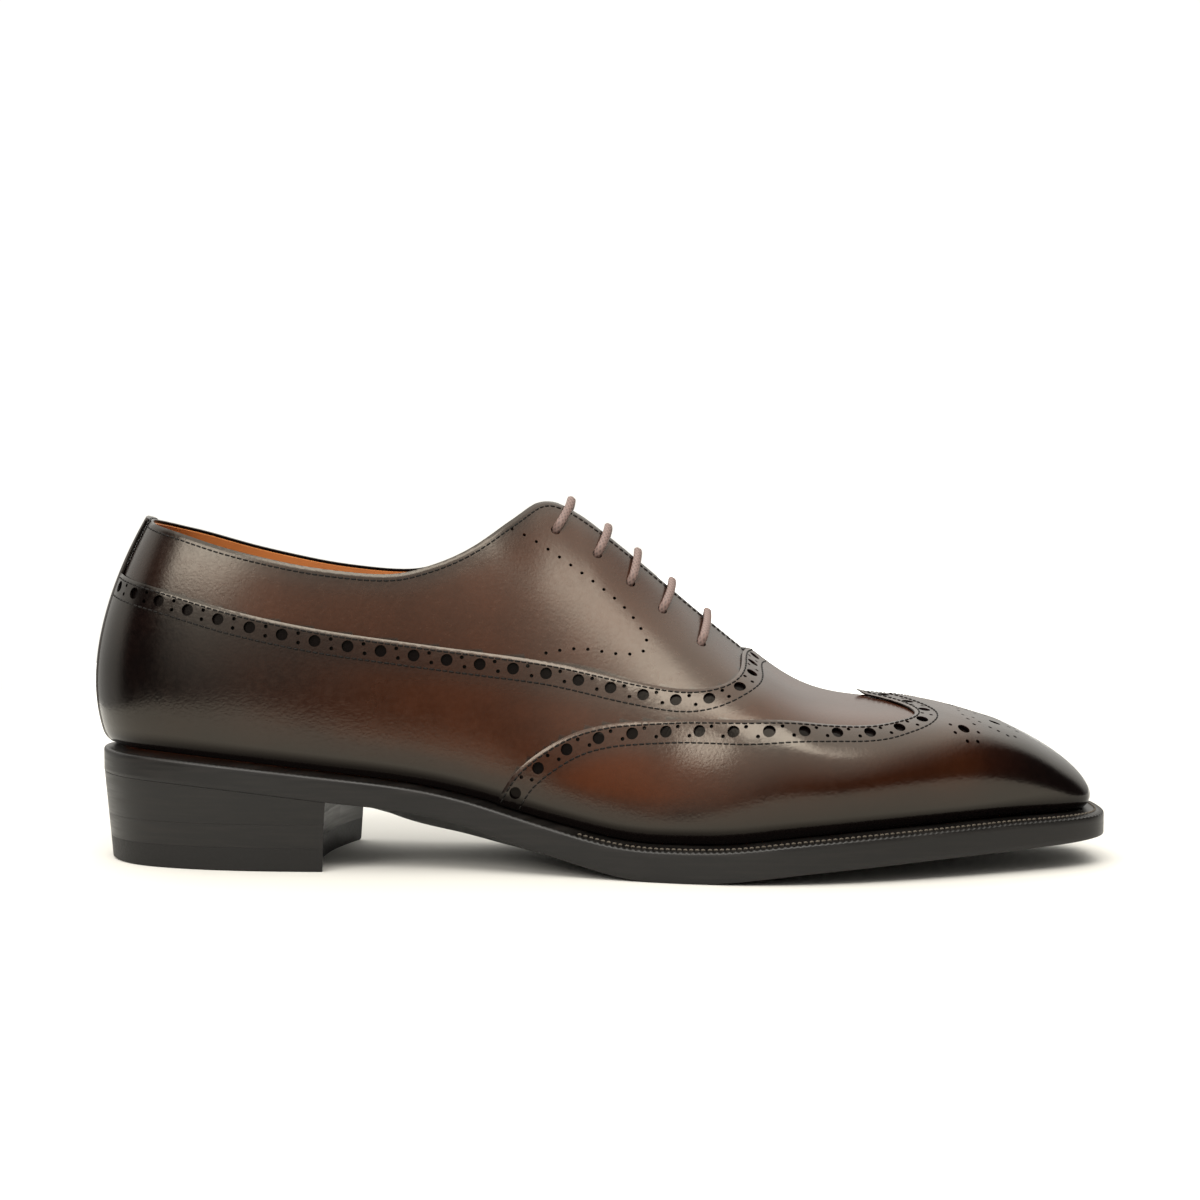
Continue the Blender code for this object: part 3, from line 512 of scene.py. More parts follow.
def collar_curve():
    """The lateral edge of the opening: collar, facing and the end of the throat."""
    points = [(0.0, LAST.height_at_back(COLLAR_EDGE[0][1]))]
    points += list(LAST.locate(COLLAR_EDGE[1:], SIDE_VIEW))
    for x in np.linspace(SLOT_X[0], SLOT_X[1] - SLOT_HALF_END, 6):
        part = (x - SLOT_X[0]) / (SLOT_X[1] - SLOT_X[0])
        half = SLOT_HALF_TOP + part * (SLOT_HALF_END - SLOT_HALF_TOP)
        place = LAST.ridge_place(x)
        points.append((place, LAST.height_from_ridge(place, half)))
    edge = sheet_curve(points)
    return np.vstack([edge, np.array([LAST.ridge_place(SLOT_X[1]), 1.0]) * SHEET])


def band_curve():
    """The lateral upper edge of the foxing and vamp panel."""
    points = [(0.0, LAST.height_at_back(BAND_EDGE[0][1]))]
    points += list(LAST.locate(BAND_EDGE[1:], SIDE_VIEW, FOXING_LEVEL))
    points.append((LAST.ridge_place(BAND_PEAK_X), 1.0))
    return sheet_curve(points)


def wing_curve():
    """The lateral upper edge of the wing cap."""
    points = list(LAST.locate(WING_EDGE, SIDE_VIEW, WING_LEVEL))
    points[0][1] = 0.0
    peak = []
    for x, side in WING_PEAK:
        ridge = LAST.surface(LAST.ridge_place(x), 1.0)
        peak.append((x, ridge[1] - side))
    points += list(LAST.locate(peak, TOP_VIEW, WING_LEVEL))
    points.append((LAST.ridge_place(WING_PEAK_X), 1.0))
    return sheet_curve(points)


def tongue_curve():
    """The lateral outline of the tongue, from the ridge at its top to the ridge at its end."""
    places = np.linspace(LAST.ridge_place(TONGUE_X[0]), LAST.ridge_place(TONGUE_X[1]), 60)
    side = np.array([(place, LAST.height_from_ridge(place, TONGUE_HALF)) for place in places])
    top = np.linspace((places[0], 1.0), side[0], 16)
    end = np.linspace(side[-1], (places[-1], 1.0), 16)
    return np.vstack([top[:-1], side, end[1:]]) * SHEET


COLLAR = collar_curve()
BAND = band_curve()
WING = wing_curve()


def inside(polygon, points):
    """Which points lie inside a closed polygon."""
    start, stop = polygon, np.roll(polygon, -1, axis=0)
    x, y = points[:, :1], points[:, 1:]
    crosses = (start[:, 1] > y) != (stop[:, 1] > y)
    run = np.where(stop[:, 1] == start[:, 1], 1.0, stop[:, 1] - start[:, 1])
    reach = start[:, 0] + (y - start[:, 1]) * (stop[:, 0] - start[:, 0]) / run
    return (crosses & (x < reach)).sum(axis=1) % 2 == 1


def line(start, stop, step=OUTLINE_STEP):
    """Evenly spaced points from start to stop."""
    start, stop = np.asarray(start, float), np.asarray(stop, float)
    count = max(2, int(round(np.linalg.norm(stop - start) / step)) + 1)
    return np.linspace(start, stop, count)


def tree_of(points):
    """A search tree over points in the plane or in space."""
    tree = KDTree(len(points))
    for number, point in enumerate(points):
        tree.insert((*point, 0.0)[:3], number)
    tree.balance()
    return tree


def nearest(tree, points):
    """Distance from each point to the nearest one in a tree."""
    return np.array([tree.find((*point, 0.0)[:3])[2] for point in points])


Hole = namedtuple("Hole", "centre radius sides")


def hole_loop(hole):
    """A round hole's edge on the sheet. One on the ridge is cut in half there."""
    half = hole.centre[1] > GIRTH - 1e-6
    angles = np.linspace(math.pi, 2.0 * math.pi, hole.sides // 2 + 1) if half else (
        np.linspace(0.0, 2.0 * math.pi, hole.sides, endpoint=False)
    )
    centre = np.repeat(np.asarray(hole.centre)[None], len(angles), axis=0)
    along, _ = LAST.slopes(centre[:, 0], np.clip(centre[:, 1] / GIRTH, 0.0, 1.0))
    along /= np.linalg.norm(along, axis=1, keepdims=True)
    _, normal = on_last(centre)
    across = np.cross(normal, along)
    spoke = along * np.cos(angles)[:, None] + across * np.sin(angles)[:, None]
    loop = moved(centre, spoke * hole.radius)
    if half:
        loop[[0, -1], 1] = GIRTH
    return loop


def cut_sheet(outline, holes, rows, spacing):
    """Half a panel on the sheet: its points, and its triangles outside the holes."""
    loops = [hole_loop(hole) for hole in holes]
    fixed = [outline] + loops
    for hole, loop in zip(holes, loops):
        if hole.centre[1] > GIRTH - 1e-6:
            low, high = loop[:, 0].min(), loop[:, 0].max()
            on_edge = (outline[:, 1] > GIRTH - 1e-6) & (outline[:, 0] > low) & (outline[:, 0] < high)
            fixed[0] = outline = outline[~on_edge]
    free = np.vstack(rows) if rows else np.zeros((0, 2))
    if len(free):
        free = free[inside(outline, free)]
        free = free[nearest(tree_of(np.vstack(fixed)), free) > 0.25 * spacing]
    low, high = outline.min(axis=0), outline.max(axis=0)
    grid = []
    for number, level in enumerate(np.arange(low[1], high[1], spacing * 0.87)):
        start = low[0] + (spacing / 2.0 if number % 2 else 0.0)
        grid += [(place, level) for place in np.arange(start, high[0], spacing)]
    grid = np.array(grid)
    grid = grid[inside(outline, grid)]
    grid = grid[nearest(tree_of(np.vstack(fixed + [free])), grid) > 0.62 * spacing]
    for hole, loop in zip(holes, loops):
        within = np.max(np.linalg.norm(loop - hole.centre, axis=1))
        close = np.linalg.norm(grid - hole.centre, axis=1) < within
        if close.any():
            grid = grid[~(close & inside(loop, grid))]
        close = np.linalg.norm(free - hole.centre, axis=1) < within
        if close.any():
            free = free[~(close & inside(loop, free))]
    points, edges, owner = [], [], []
    for number, loop in enumerate(fixed):
        first = len(points)
        points += [Vector(point) for point in loop]
        owner += [number] * len(loop)
        edges += [(first + step, first + (step + 1) % len(loop)) for step in range(len(loop))]
    extra = np.vstack([free, grid])
    points += [Vector(point) for point in extra]
    owner += [-1] * len(extra)
    found = delaunay_2d_cdt(points, edges, [], 0, 1e-5)
    flat = np.array([tuple(point) for point in found[0]])
    owners = np.array([max((owner[source] for source in sources), default=-1) for sources in found[3]])
    triangles = np.array([tuple(face) for face in found[2]])
    corners = owners[triangles]
    in_hole = (corners[:, 0] > 0) & (corners[:, 0] == corners[:, 1]) & (corners[:, 1] == corners[:, 2])
    first, second, third = flat[triangles].transpose(1, 0, 2)
    area = np.cross(second - first, third - first)
    keep = ~in_hole & (np.abs(area) > 1e-5) & inside(outline, flat[triangles].mean(axis=1))
    used, renumbered = np.unique(triangles[keep], return_inverse=True)
    return flat[used], renumbered.reshape(-1, 3)


def both_sides(flat, triangles):
    """The half panel and its mirror image, welded on the heel's back, the toe line and the ridge."""
    whole = np.vstack([flat, mirrored(flat)])
    faces = np.vstack([triangles, triangles[:, ::-1] + len(flat)])
    names, numbers, kept = {}, [], []
    for number, (place, height) in enumerate(whole):
        place = place % LAST.whole
        folded = min(place, LAST.whole - place)
        if height > GIRTH - 1e-6 and folded >= LAST.ridge_start - 1e-6:
            name = ("ridge", round(min(folded, LAST.pole), 3))
        elif folded < 1e-6 or abs(folded - LAST.half) < 1e-6:
            name = (round(folded, 3), round(height, 3))
        else:
            name = number
        if name not in names:
            names[name] = len(kept)
            kept.append(number)
        numbers.append(names[name])
    faces = np.array(numbers)[faces]
    plain = (faces[:, 0] != faces[:, 1]) & (faces[:, 1] != faces[:, 2]) & (faces[:, 2] != faces[:, 0])
    return whole[kept], faces[plain]


def smooth_step(low, high, value):
    """0 below low, 1 above high, and a soft ramp between."""
    share = np.clip((value - low) / (high - low), 0.0, 1.0)
    return share * share * (3.0 - 2.0 * share)


def feather_tuck(points, flat):
    """How far the upper turns in towards the welt, close to the feather edge."""
    foot = LAST.surface(flat[:, 0], np.zeros(len(flat)))
    near = np.linalg.norm(points - foot, axis=1)
    return TUCK_DEPTH * np.clip(1.0 - near / TUCK_REACH, 0.0, 1.0) ** 2, near


def to_metres(points):
    """Drawing points, in millimetres from the heel, to the part's frame."""
    return (np.asarray(points) - ORIGIN) * MM


def mesh_from(name, points, faces, sharp=(), crease=None):
    """A smooth mesh from drawing points, sharp at named edges or where it turns past the crease angle."""
    mesh = bpy.data.meshes.new(name)
    mesh.from_pydata(to_metres(points).tolist(), [], [list(map(int, face)) for face in faces])
    mesh.update()
    mesh.polygons.foreach_set("use_smooth", np.ones(len(mesh.polygons), bool))
    if len(sharp):
        wanted = {tuple(sorted(map(int, pair))) for pair in sharp}
        marks = [tuple(sorted(edge.vertices)) in wanted for edge in mesh.edges]
        mesh.attributes.new("sharp_edge", "BOOLEAN", "EDGE").data.foreach_set("value", marks)
    if crease is not None:
        mesh.set_sharp_from_angle(angle=math.radians(crease))
    return mesh


def paint(mesh, name, values):
    """A value for each point, which the material reads."""
    mesh.attributes.new(name, "FLOAT", "POINT").data.foreach_set("value", np.asarray(values, np.float32))


def add_piece(name, mesh, material, slot, *nodes):
    """Put a piece into the scene, riding on the shoe and standing for its solids."""
    piece = bpy.data.objects.new(name, mesh)
    bpy.context.scene.collection.objects.link(piece)
    mesh.materials.append(material)
    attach(piece, BODY)
    if nodes:
        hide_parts(*nodes)
    return piece


def thick_panel(name, outer, inner, faces):
    """A closed mesh between an outer and an inner skin with the same triangles."""
    count = len(outer)
    sides = np.vstack([faces[:, [0, 1]], faces[:, [1, 2]], faces[:, [2, 0]]])
    known = {tuple(pair) for pair in sides}
    rim = [pair for pair in sides if (pair[1], pair[0]) not in known]
    skins = [tuple(face) for face in faces] + [tuple(face[::-1] + count) for face in faces]
    walls = [(low, low + count, high + count, high) for low, high in rim]
    sharp = [(low, high) for low, high in rim] + [(low + count, high + count) for low, high in rim]
    return mesh_from(name, np.vstack([outer, inner]), skins + walls, sharp)


def hex_colour(code):
    """An sRGB hex colour as linear values."""
    parts = [int(code[start:start + 2], 16) / 255.0 for start in (1, 3, 5)]
    linear = [part / 12.92 if part <= 0.04045 else ((part + 0.055) / 1.055) ** 2.4 for part in parts]
    return (*linear, 1.0)


def fill_inputs(tree, node, inputs):
    """Link each input whose value is a socket, and set the others."""
    for key, value in inputs.items():
        if isinstance(value, bpy.types.NodeSocket):
            tree.links.new(value, node.inputs[key])
        else:
            node.inputs[key].default_value = value


def add_node(tree, kind, inputs=None, **settings):
    """Add a node with its settings and inputs."""
    node = tree.nodes.new(kind)
    for key, value in settings.items():
        setattr(node, key, value)
    fill_inputs(tree, node, inputs or {})
    return node


def new_material(name):
    """An empty material, its tree and its shader."""
    material = bpy.data.materials.new(name)
    material.use_nodes = True
    tree = material.node_tree
    return material, tree, tree.nodes["Principled BSDF"]


def per_metre(size):
    """Texture scale whose pattern repeats at a size in millimetres."""
    return 1.0 / (size * MM)


# Noise and lines of a texture lie mostly between these values
NOISE_LOW, NOISE_HIGH = 0.3, 0.7


def calf_patina(name, colours, gloss):
    """Hand-burnished box calf, polished: dark at seams and ends, warm in the middle, with a fine grain."""
    material, tree, shader = new_material(name)
    space = add_node(tree, "ShaderNodeTexCoord").outputs["Object"]
    tone = add_node(tree, "ShaderNodeAttribute", attribute_name="tone").outputs["Fac"]
    # Cloudy hand-applied dye, in patches of about 22 mm
    cloud = add_node(
        tree, "ShaderNodeTexNoise",
        {"Vector": space, "Scale": per_metre(22.0), "Detail": 5.0, "Roughness": 0.6},
    ).outputs["Fac"]
    # Mottle of the dyed grain, about 1.6 mm
    mottle = add_node(
        tree, "ShaderNodeTexNoise", {"Vector": space, "Scale": per_metre(1.6), "Detail": 3.0}
    ).outputs["Fac"]
    shade = tone
    for pattern, depth in ((cloud, 0.08), (mottle, 0.025)):
        change = add_node(
            tree, "ShaderNodeMapRange",
            {
                "Value": pattern, "From Min": NOISE_LOW, "From Max": NOISE_HIGH,
                "To Min": -depth, "To Max": depth,
            },
        ).outputs["Result"]
        shade = add_node(tree, "ShaderNodeMath", {0: shade, 1: change}, operation="ADD").outputs[0]
    ramp = add_node(tree, "ShaderNodeValToRGB", {"Fac": shade})
    stops = ramp.color_ramp.elements
    stops[0].color = colours[0]
    stops[1].color = colours[-1]
    for share, colour in zip(np.linspace(0.0, 1.0, len(colours))[1:-1], colours[1:-1]):
        stops.new(share).color = colour
    # Grain cells of box calf are about 0.5 mm; drawn at 0.9 mm so that they show
    grain = add_node(
        tree, "ShaderNodeTexVoronoi", {"Vector": space, "Scale": per_metre(0.9)}, feature="SMOOTH_F1"
    ).outputs["Distance"]
    pores = add_node(
        tree, "ShaderNodeTexNoise", {"Vector": space, "Scale": per_metre(0.6), "Detail": 2.0}
    ).outputs["Fac"]
    height = add_node(tree, "ShaderNodeMath", {0: grain, 1: pores}, operation="ADD").outputs[0]
    bump = add_node(tree, "ShaderNodeBump", {"Height": height, "Strength": 0.13, "Distance": 0.00012})
    rough = add_node(
        tree, "ShaderNodeMapRange",
        {
            "Value": mottle, "From Min": NOISE_LOW, "From Max": NOISE_HIGH,
            "To Min": gloss - 0.03, "To Max": gloss + 0.03,
        },
    ).outputs["Result"]
    # Shine is turned down where the tone is painted shade, at the bottom of the holes and in the crease over
    # the welt, so these stay matt and black, and the dark wax that shines is thin on the warm middle of a
    # panel
    shine_off_in_shade = add_node(
        tree, "ShaderNodeMapRange",
        {"Value": tone, "From Min": -0.25, "From Max": 0.0, "To Min": 0.08, "To Max": 0.5},
    ).outputs["Result"]
    thin = add_node(
        tree, "ShaderNodeMapRange",
        {"Value": tone, "From Min": 0.55, "From Max": 0.9, "To Min": 1.0, "To Max": 0.5},
    ).outputs["Result"]
    shine = add_node(tree, "ShaderNodeMath", {0: shine_off_in_shade, 1: thin}, operation="MULTIPLY").outputs[0]
    fill_inputs(tree, shader, {
        "Base Color": ramp.outputs["Color"], "Normal": bump.outputs["Normal"], "Roughness": rough,
        "Specular IOR Level": shine, "Specular Tint": hex_colour("#fff5e6"),
    })
    return material


def lining_calf(name, colour, dark):
    """Vegetable-tanned lining calf, undyed and matt, with soft cloudiness and open pores."""
    material, tree, shader = new_material(name)
    space = add_node(tree, "ShaderNodeTexCoord").outputs["Object"]
    # Clouds of about 14 mm, and pores of about 0.7 mm
    cloud, pores = (
        add_node(
            tree, "ShaderNodeTexNoise", {"Vector": space, "Scale": per_metre(size), "Detail": detail}
        ).outputs["Fac"]
        for size, detail in ((14.0, 5.0), (0.7, 3.0))
    )
    mixed = add_node(tree, "ShaderNodeMix", {"Factor": cloud, "A": colour, "B": dark}, data_type="RGBA")
    bump = add_node(tree, "ShaderNodeBump", {"Height": pores, "Strength": 0.25, "Distance": 0.00015})
    fill_inputs(tree, shader, {
        "Base Color": mixed.outputs["Result"], "Normal": bump.outputs["Normal"], "Roughness": 0.55,
    })
    return material


def waxed_edge(name, colour, light):
    """Trimmed sole leather, inked and waxed: near black, with faint lines along the layers."""
    material, tree, shader = new_material(name)
    space = add_node(tree, "ShaderNodeTexCoord").outputs["Object"]
    # Layers of fibre are about 0.5 mm; drawn at 0.9 mm so that they show, and drawn out along the edge
    drawn = add_node(
        tree, "ShaderNodeMapping", {"Vector": space, "Scale": (0.06, 0.06, 1.0)}
    ).outputs["Vector"]
    lines = add_node(
        tree, "ShaderNodeTexNoise", {"Vector": drawn, "Scale": per_metre(0.9), "Detail": 3.0}
    ).outputs["Fac"]
    faint = add_node(
        tree, "ShaderNodeMapRange", {"Value": lines, "From Min": 0.45, "From Max": 0.75}
    ).outputs["Result"]
    mixed = add_node(tree, "ShaderNodeMix", {"Factor": faint, "A": colour, "B": light}, data_type="RGBA")
    bump = add_node(tree, "ShaderNodeBump", {"Height": lines, "Strength": 0.12, "Distance": 0.0001})
    rough = add_node(
        tree, "ShaderNodeMapRange",
        {"Value": lines, "From Min": NOISE_LOW, "From Max": NOISE_HIGH, "To Min": 0.34, "To Max": 0.46},
    ).outputs["Result"]
    fill_inputs(tree, shader, {
        "Base Color": mixed.outputs["Result"], "Normal": bump.outputs["Normal"], "Roughness": rough,
        "Specular IOR Level": 0.36,
    })
    return material


def heel_rubber(name, colour):
    """Moulded rubber of the heel's top piece: dull black with a fine pebble."""
    material, tree, shader = new_material(name)
    space = add_node(tree, "ShaderNodeTexCoord").outputs["Object"]
    pebble = add_node(
        tree, "ShaderNodeTexVoronoi", {"Vector": space, "Scale": per_metre(0.8)}, feature="SMOOTH_F1"
    ).outputs["Distance"]
    bump = add_node(tree, "ShaderNodeBump", {"Height": pebble, "Strength": 0.15, "Distance": 0.0001})
    rough = add_node(tree, "ShaderNodeMapRange", {"Value": pebble, "To Min": 0.5, "To Max": 0.62})
    fill_inputs(tree, shader, {
        "Base Color": colour, "Normal": bump.outputs["Normal"], "Roughness": rough.outputs["Result"],
        "Specular IOR Level": 0.34,
    })
    return material


def waxed_cotton(name, colour, dark):
    """Round waxed cotton lace: a close braid, with painted shade in its grooves."""
    material, tree, shader = new_material(name)
    groove = add_node(tree, "ShaderNodeAttribute", attribute_name="braid").outputs["Fac"]
    # Painted shade: the colour is darker where the braid's surface lies low, in the grooves between its
    # strands
    mixed = add_node(tree, "ShaderNodeMix", {"Factor": groove, "A": dark, "B": colour}, data_type="RGBA")
    space = add_node(tree, "ShaderNodeTexCoord").outputs["Object"]
    # Cotton fibres, about 0.25 mm
    fibre = add_node(
        tree, "ShaderNodeTexNoise", {"Vector": space, "Scale": per_metre(0.25), "Detail": 2.0}
    ).outputs["Fac"]
    bump = add_node(tree, "ShaderNodeBump", {"Height": fibre, "Strength": 0.2, "Distance": 0.0001})
    fill_inputs(tree, shader, {
        "Base Color": mixed.outputs["Result"], "Normal": bump.outputs["Normal"], "Roughness": 0.6,
    })
    return material


def linen_thread(name, colour, roughness):
    """Waxed sewing thread: dull, with the twist of its plies."""
    material, tree, shader = new_material(name)
    space = add_node(tree, "ShaderNodeTexCoord").outputs["Object"]
    # Plies of about 0.3 mm
    ply = add_node(
        tree, "ShaderNodeTexNoise", {"Vector": space, "Scale": per_metre(0.3), "Detail": 1.0}
    ).outputs["Fac"]
    bump = add_node(tree, "ShaderNodeBump", {"Height": ply, "Strength": 0.25, "Distance": 0.0001})
    fill_inputs(tree, shader, {
        "Base Color": colour, "Normal": bump.outputs["Normal"], "Roughness": roughness,
        "Specular IOR Level": 0.15,
    })
    return material


def colour_prop(name, description, code):
    """A colour that the user can change."""
    return bpy.props.FloatVectorProperty(
        name=name, description=description, subtype="COLOR", size=4, min=0.0, max=1.0,
        default=hex_colour(code),
    )


def length_prop(name, description, millimetres):
    """A length that the user can change."""
    return bpy.props.FloatProperty(
        name=name, description=description, unit="LENGTH", precision=5, min=0.0, default=millimetres * MM
    )


class OxfordSizes(bpy.types.PropertyGroup):
    """Sizes of the holes, stitches and laces."""

    big_hole: length_prop("Large hole", "Diameter of the large punched holes", 3.5)
    small_hole: length_prop("Small hole", "Diameter of the small punched holes", 1.15)
    pin_hole: length_prop("Pin hole", "Diameter of the holes on the quarter", 1.05)
    lace_hole: length_prop("Lace hole", "Diameter of the lace holes", 3.0)
    stitch_pitch: length_prop("Stitch pitch", "Distance between stitches", 1.9)
    thread: length_prop("Thread", "Diameter of the sewing thread", 0.5)
    welt_pitch: length_prop("Welt pitch", "Distance between the welt's stitches", 1.75)
    lace: length_prop("Lace", "Diameter of the lace", 2.5)
    mesh: length_prop("Mesh spacing", "Distance between the points of the leather panels", 1.7)


class OxfordColours(bpy.types.PropertyGroup):
    """Colours of leather, thread and lace."""

    # Espresso is also the colour of the painted shade, where the tone goes below the patina's darkest stop
    espresso: colour_prop("Espresso", "Darkest burnish, at seams, toe and heel", "#080505")
    bark: colour_prop("Bark", "Dark part of the patina", "#180a06")
    mahogany: colour_prop("Mahogany", "Middle of the patina", "#2c1408")
    chestnut: colour_prop("Chestnut", "Warmest part of the patina", "#401e0c")
    lining: colour_prop("Lining", "Lining leather", "#b87238")
    lining_dark: colour_prop("Lining shade", "Darker clouds in the lining leather", "#8f5226")
    edge: colour_prop("Edge ink", "Ink on the sole's edge", "#0b0908")
    edge_light: colour_prop("Edge lines", "Faint lines on the sole's edge", "#151210")
    rubber: colour_prop("Rubber", "Heel's top piece", "#0b0908")
    lace: colour_prop("Lace", "Lace", "#6f5a54")
    # Colour of the painted shade in the grooves of the lace's braid
    lace_dark: colour_prop("Lace grooves", "Grooves of the lace's braid", "#41332e")
    thread: colour_prop("Thread", "Sewing thread of the upper", "#0b0807")
    welt_thread: colour_prop("Welt thread", "Thread of the welt", "#4f4941")


def patina_colours(context):
    """The stops of the patina, from dark to warm."""
    colours = context.scene.oxford_colours
    return [tuple(colour) for colour in (colours.espresso, colours.bark, colours.mahogany, colours.chestnut)]


def millimetres(value):
    """A size of the panel in millimetres."""
    return value / MM


BAND_HOLES = 24
WING_HOLES = 17
HOLE_INSET = 3.5
STITCH_ROWS = (1.2, 6.8)
COLLAR_STITCH = 2.0
PAIR_HALF = 1.35
BIG_SIDES, SMALL_SIDES, LACE_HOLE_SIDES = 20, 10, 18
QUARTER_THICK = 1.1
ROLL_ROWS = (0.35, 0.8, 1.3)
ROLL_WIDTH = 1.1
BAND_WIDTH = 6.0
CURL_LIFT, CURL_REACH = 2.6, 4.5
# Tone of the inner sides and cut edges, and painted shade: the bottoms of the holes, the part under a
# covering panel and the lining's outer side are painted dark
EDGE_AND_SHADE_TONE = -0.3


def brogue_row(edge, first, last, count, sizes):
    """Large holes along an edge, with a pair of small ones between each two."""
    middle = inset(edge, HOLE_INSET)
    run = lengths(middle)[-1]
    big_places = np.linspace(first, run - last, count)
    pair_places = (big_places[1:] + big_places[:-1]) / 2.0
    holes = [
        Hole(centre, millimetres(sizes.big_hole) / 2.0, BIG_SIDES)
        for centre in at_lengths(middle, big_places)
    ]
    for side in (HOLE_INSET - PAIR_HALF, HOLE_INSET + PAIR_HALF):
        beside = inset(edge, side)
        stretch = lengths(beside)[-1] / run
        holes += [
            Hole(centre, millimetres(sizes.small_hole) / 2.0, SMALL_SIDES)
            for centre in at_lengths(beside, pair_places * stretch)
        ]
    return holes


def medallion_holes(sizes):
    """The toe's ornament on the lateral half, placed on the last."""
    holes = []
    for row in MEDALLION:
        radius = millimetres(sizes.big_hole if row.big else sizes.small_hole) / 2.0
        if row.side == 0.0:
            holes.append(Hole(np.array([LAST.ridge_place(row.x), 1.0]) * SHEET, radius, BIG_SIDES))
            continue
        ridge_y = LAST.surface(LAST.ridge_place(min(row.x, TOE_END_X)), 1.0)[1]
        spot = LAST.locate([(row.x, ridge_y - row.side)], TOP_VIEW, WING_LEVEL)[0]
        holes.append(Hole(spot * SHEET, radius, BIG_SIDES if row.big else SMALL_SIDES))
    return holes


def lace_spots():
    """Sheet points of the lateral lace holes."""
    return LAST.locate([(row.hole_x, row.hole_z) for row in LACE_ROWS], SIDE_VIEW) * SHEET


def facing_holes(sizes):
    """Lace holes and the line of pin holes on the quarter."""
    radius = millimetres(sizes.lace_hole) / 2.0
    holes = [Hole(spot, radius, LACE_HOLE_SIDES) for spot in lace_spots()]
    path = sheet_curve(LAST.locate(FACING_PINS, SIDE_VIEW))
    for spot in at_lengths(path, np.linspace(0.0, lengths(path)[-1], PIN_COUNT)):
        holes.append(Hole(spot, millimetres(sizes.pin_hole) / 2.0, SMALL_SIDES))
    return holes


def upper_outline(edge):
    """The half sheet below an edge of the opening, as a closed polygon."""
    end = edge[-1]
    return np.vstack([
        line((0.0, 0.0), (LAST.half, 0.0))[:-1],
        line((LAST.half, 0.0), (LAST.half, GIRTH))[:-1],
        line((LAST.half, GIRTH), end)[:-1],
        edge[::-1][:-1],
        line(edge[0], (0.0, 0.0))[:-1],
    ])


def foxing_outline():
    """The half foxing and vamp panel, from the strip at the heel to the toe."""
    start = STRIP_HALF + GAP
    along = BAND[BAND[:, 0] > start + 0.3]
    corner = (start, np.interp(start, BAND[:, 0], BAND[:, 1]))
    return np.vstack([
        line((start, 0.0), (LAST.half, 0.0))[:-1],
        line((LAST.half, 0.0), (LAST.half, GIRTH))[:-1],
        line((LAST.half, GIRTH), along[-1])[:-1],
        along[::-1],
        line(corner, (start, 0.0))[:-1],
    ])


def wing_outline():
    """The half wing cap."""
    return np.vstack([
        line(WING[0], (LAST.half, 0.0))[:-1],
        line((LAST.half, 0.0), (LAST.half, GIRTH))[:-1],
        line((LAST.half, GIRTH), WING[-1])[:-1],
        WING[::-1][:-1],
    ])


def edge_distance(flat, edges):
    """Distance on the last from sheet points to the nearest free edge."""
    dense = np.vstack([at_lengths(edge, np.arange(0.0, lengths(edge)[-1], 0.4)) for edge in edges])
    lateral = np.column_stack([LAST.fold(flat[:, 0]), flat[:, 1]])
    return nearest(tree_of(on_last(dense)[0]), on_last(lateral)[0])


def leather_panel(name, flat, faces, level, thickness, edges, tone, roll=0.4, cover=None):
    """A leather panel over the last: rolled off at its free edges, turned in at the feather, and painted.

    Its inner side, its cut edges and the part below the panel that covers it are painted dark: painted shade
    on the walls and at the bottom of the holes.
    """
    points, normals = on_last(flat)
    beside = edge_distance(flat, edges)
    tuck, near = feather_tuck(points, flat)
    drop = roll * np.clip(1.0 - beside / ROLL_WIDTH, 0.0, 1.0) ** 2
    outer = points + normals * (level - tuck - drop)[:, None]
    inner = points + normals * (level - tuck - thickness)[:, None]
    mesh = thick_panel(name, outer, inner, faces)
    values = np.clip(tone(points, beside, near), EDGE_AND_SHADE_TONE, 1.0)
    if cover is not None:
        outline, edge = cover
        lateral = np.column_stack([LAST.fold(flat[:, 0]), flat[:, 1]])
        # Painted shade: the part under the covering panel, seen at the bottom of its holes, is painted dark
        values[inside(outline, lateral) & (edge_distance(flat, [edge]) > 0.5)] = EDGE_AND_SHADE_TONE
    # The inner side is painted dark too, which gives painted shade on the walls of the holes
    paint(mesh, "tone", np.concatenate([values, np.full(len(values), EDGE_AND_SHADE_TONE)]))
    return mesh


def burnish(points, beside, near, warm):
    """Tone of the patina: warm in the middle of a panel, dark at its band, its seams, toe and heel, darker
    towards the welt, with painted shade in the crease over the welt.
    """
    x = points[:, 0]
    seam = 1.0 - 0.3 * np.exp(-((np.maximum(beside - BAND_WIDTH, 0.0) / 4.0) ** 2))
    low = smooth_step(2.0, 15.0, near)
    heel = smooth_step(6.0, 92.0, x)
    toe = 1.0 - smooth_step(256.0, 284.0, x)
    # Painted shade, matt and black, in the crease over the welt
    crease = 0.25 * (1.0 - smooth_step(2.0, 6.5, near))
    return warm * seam * low * heel * toe - crease


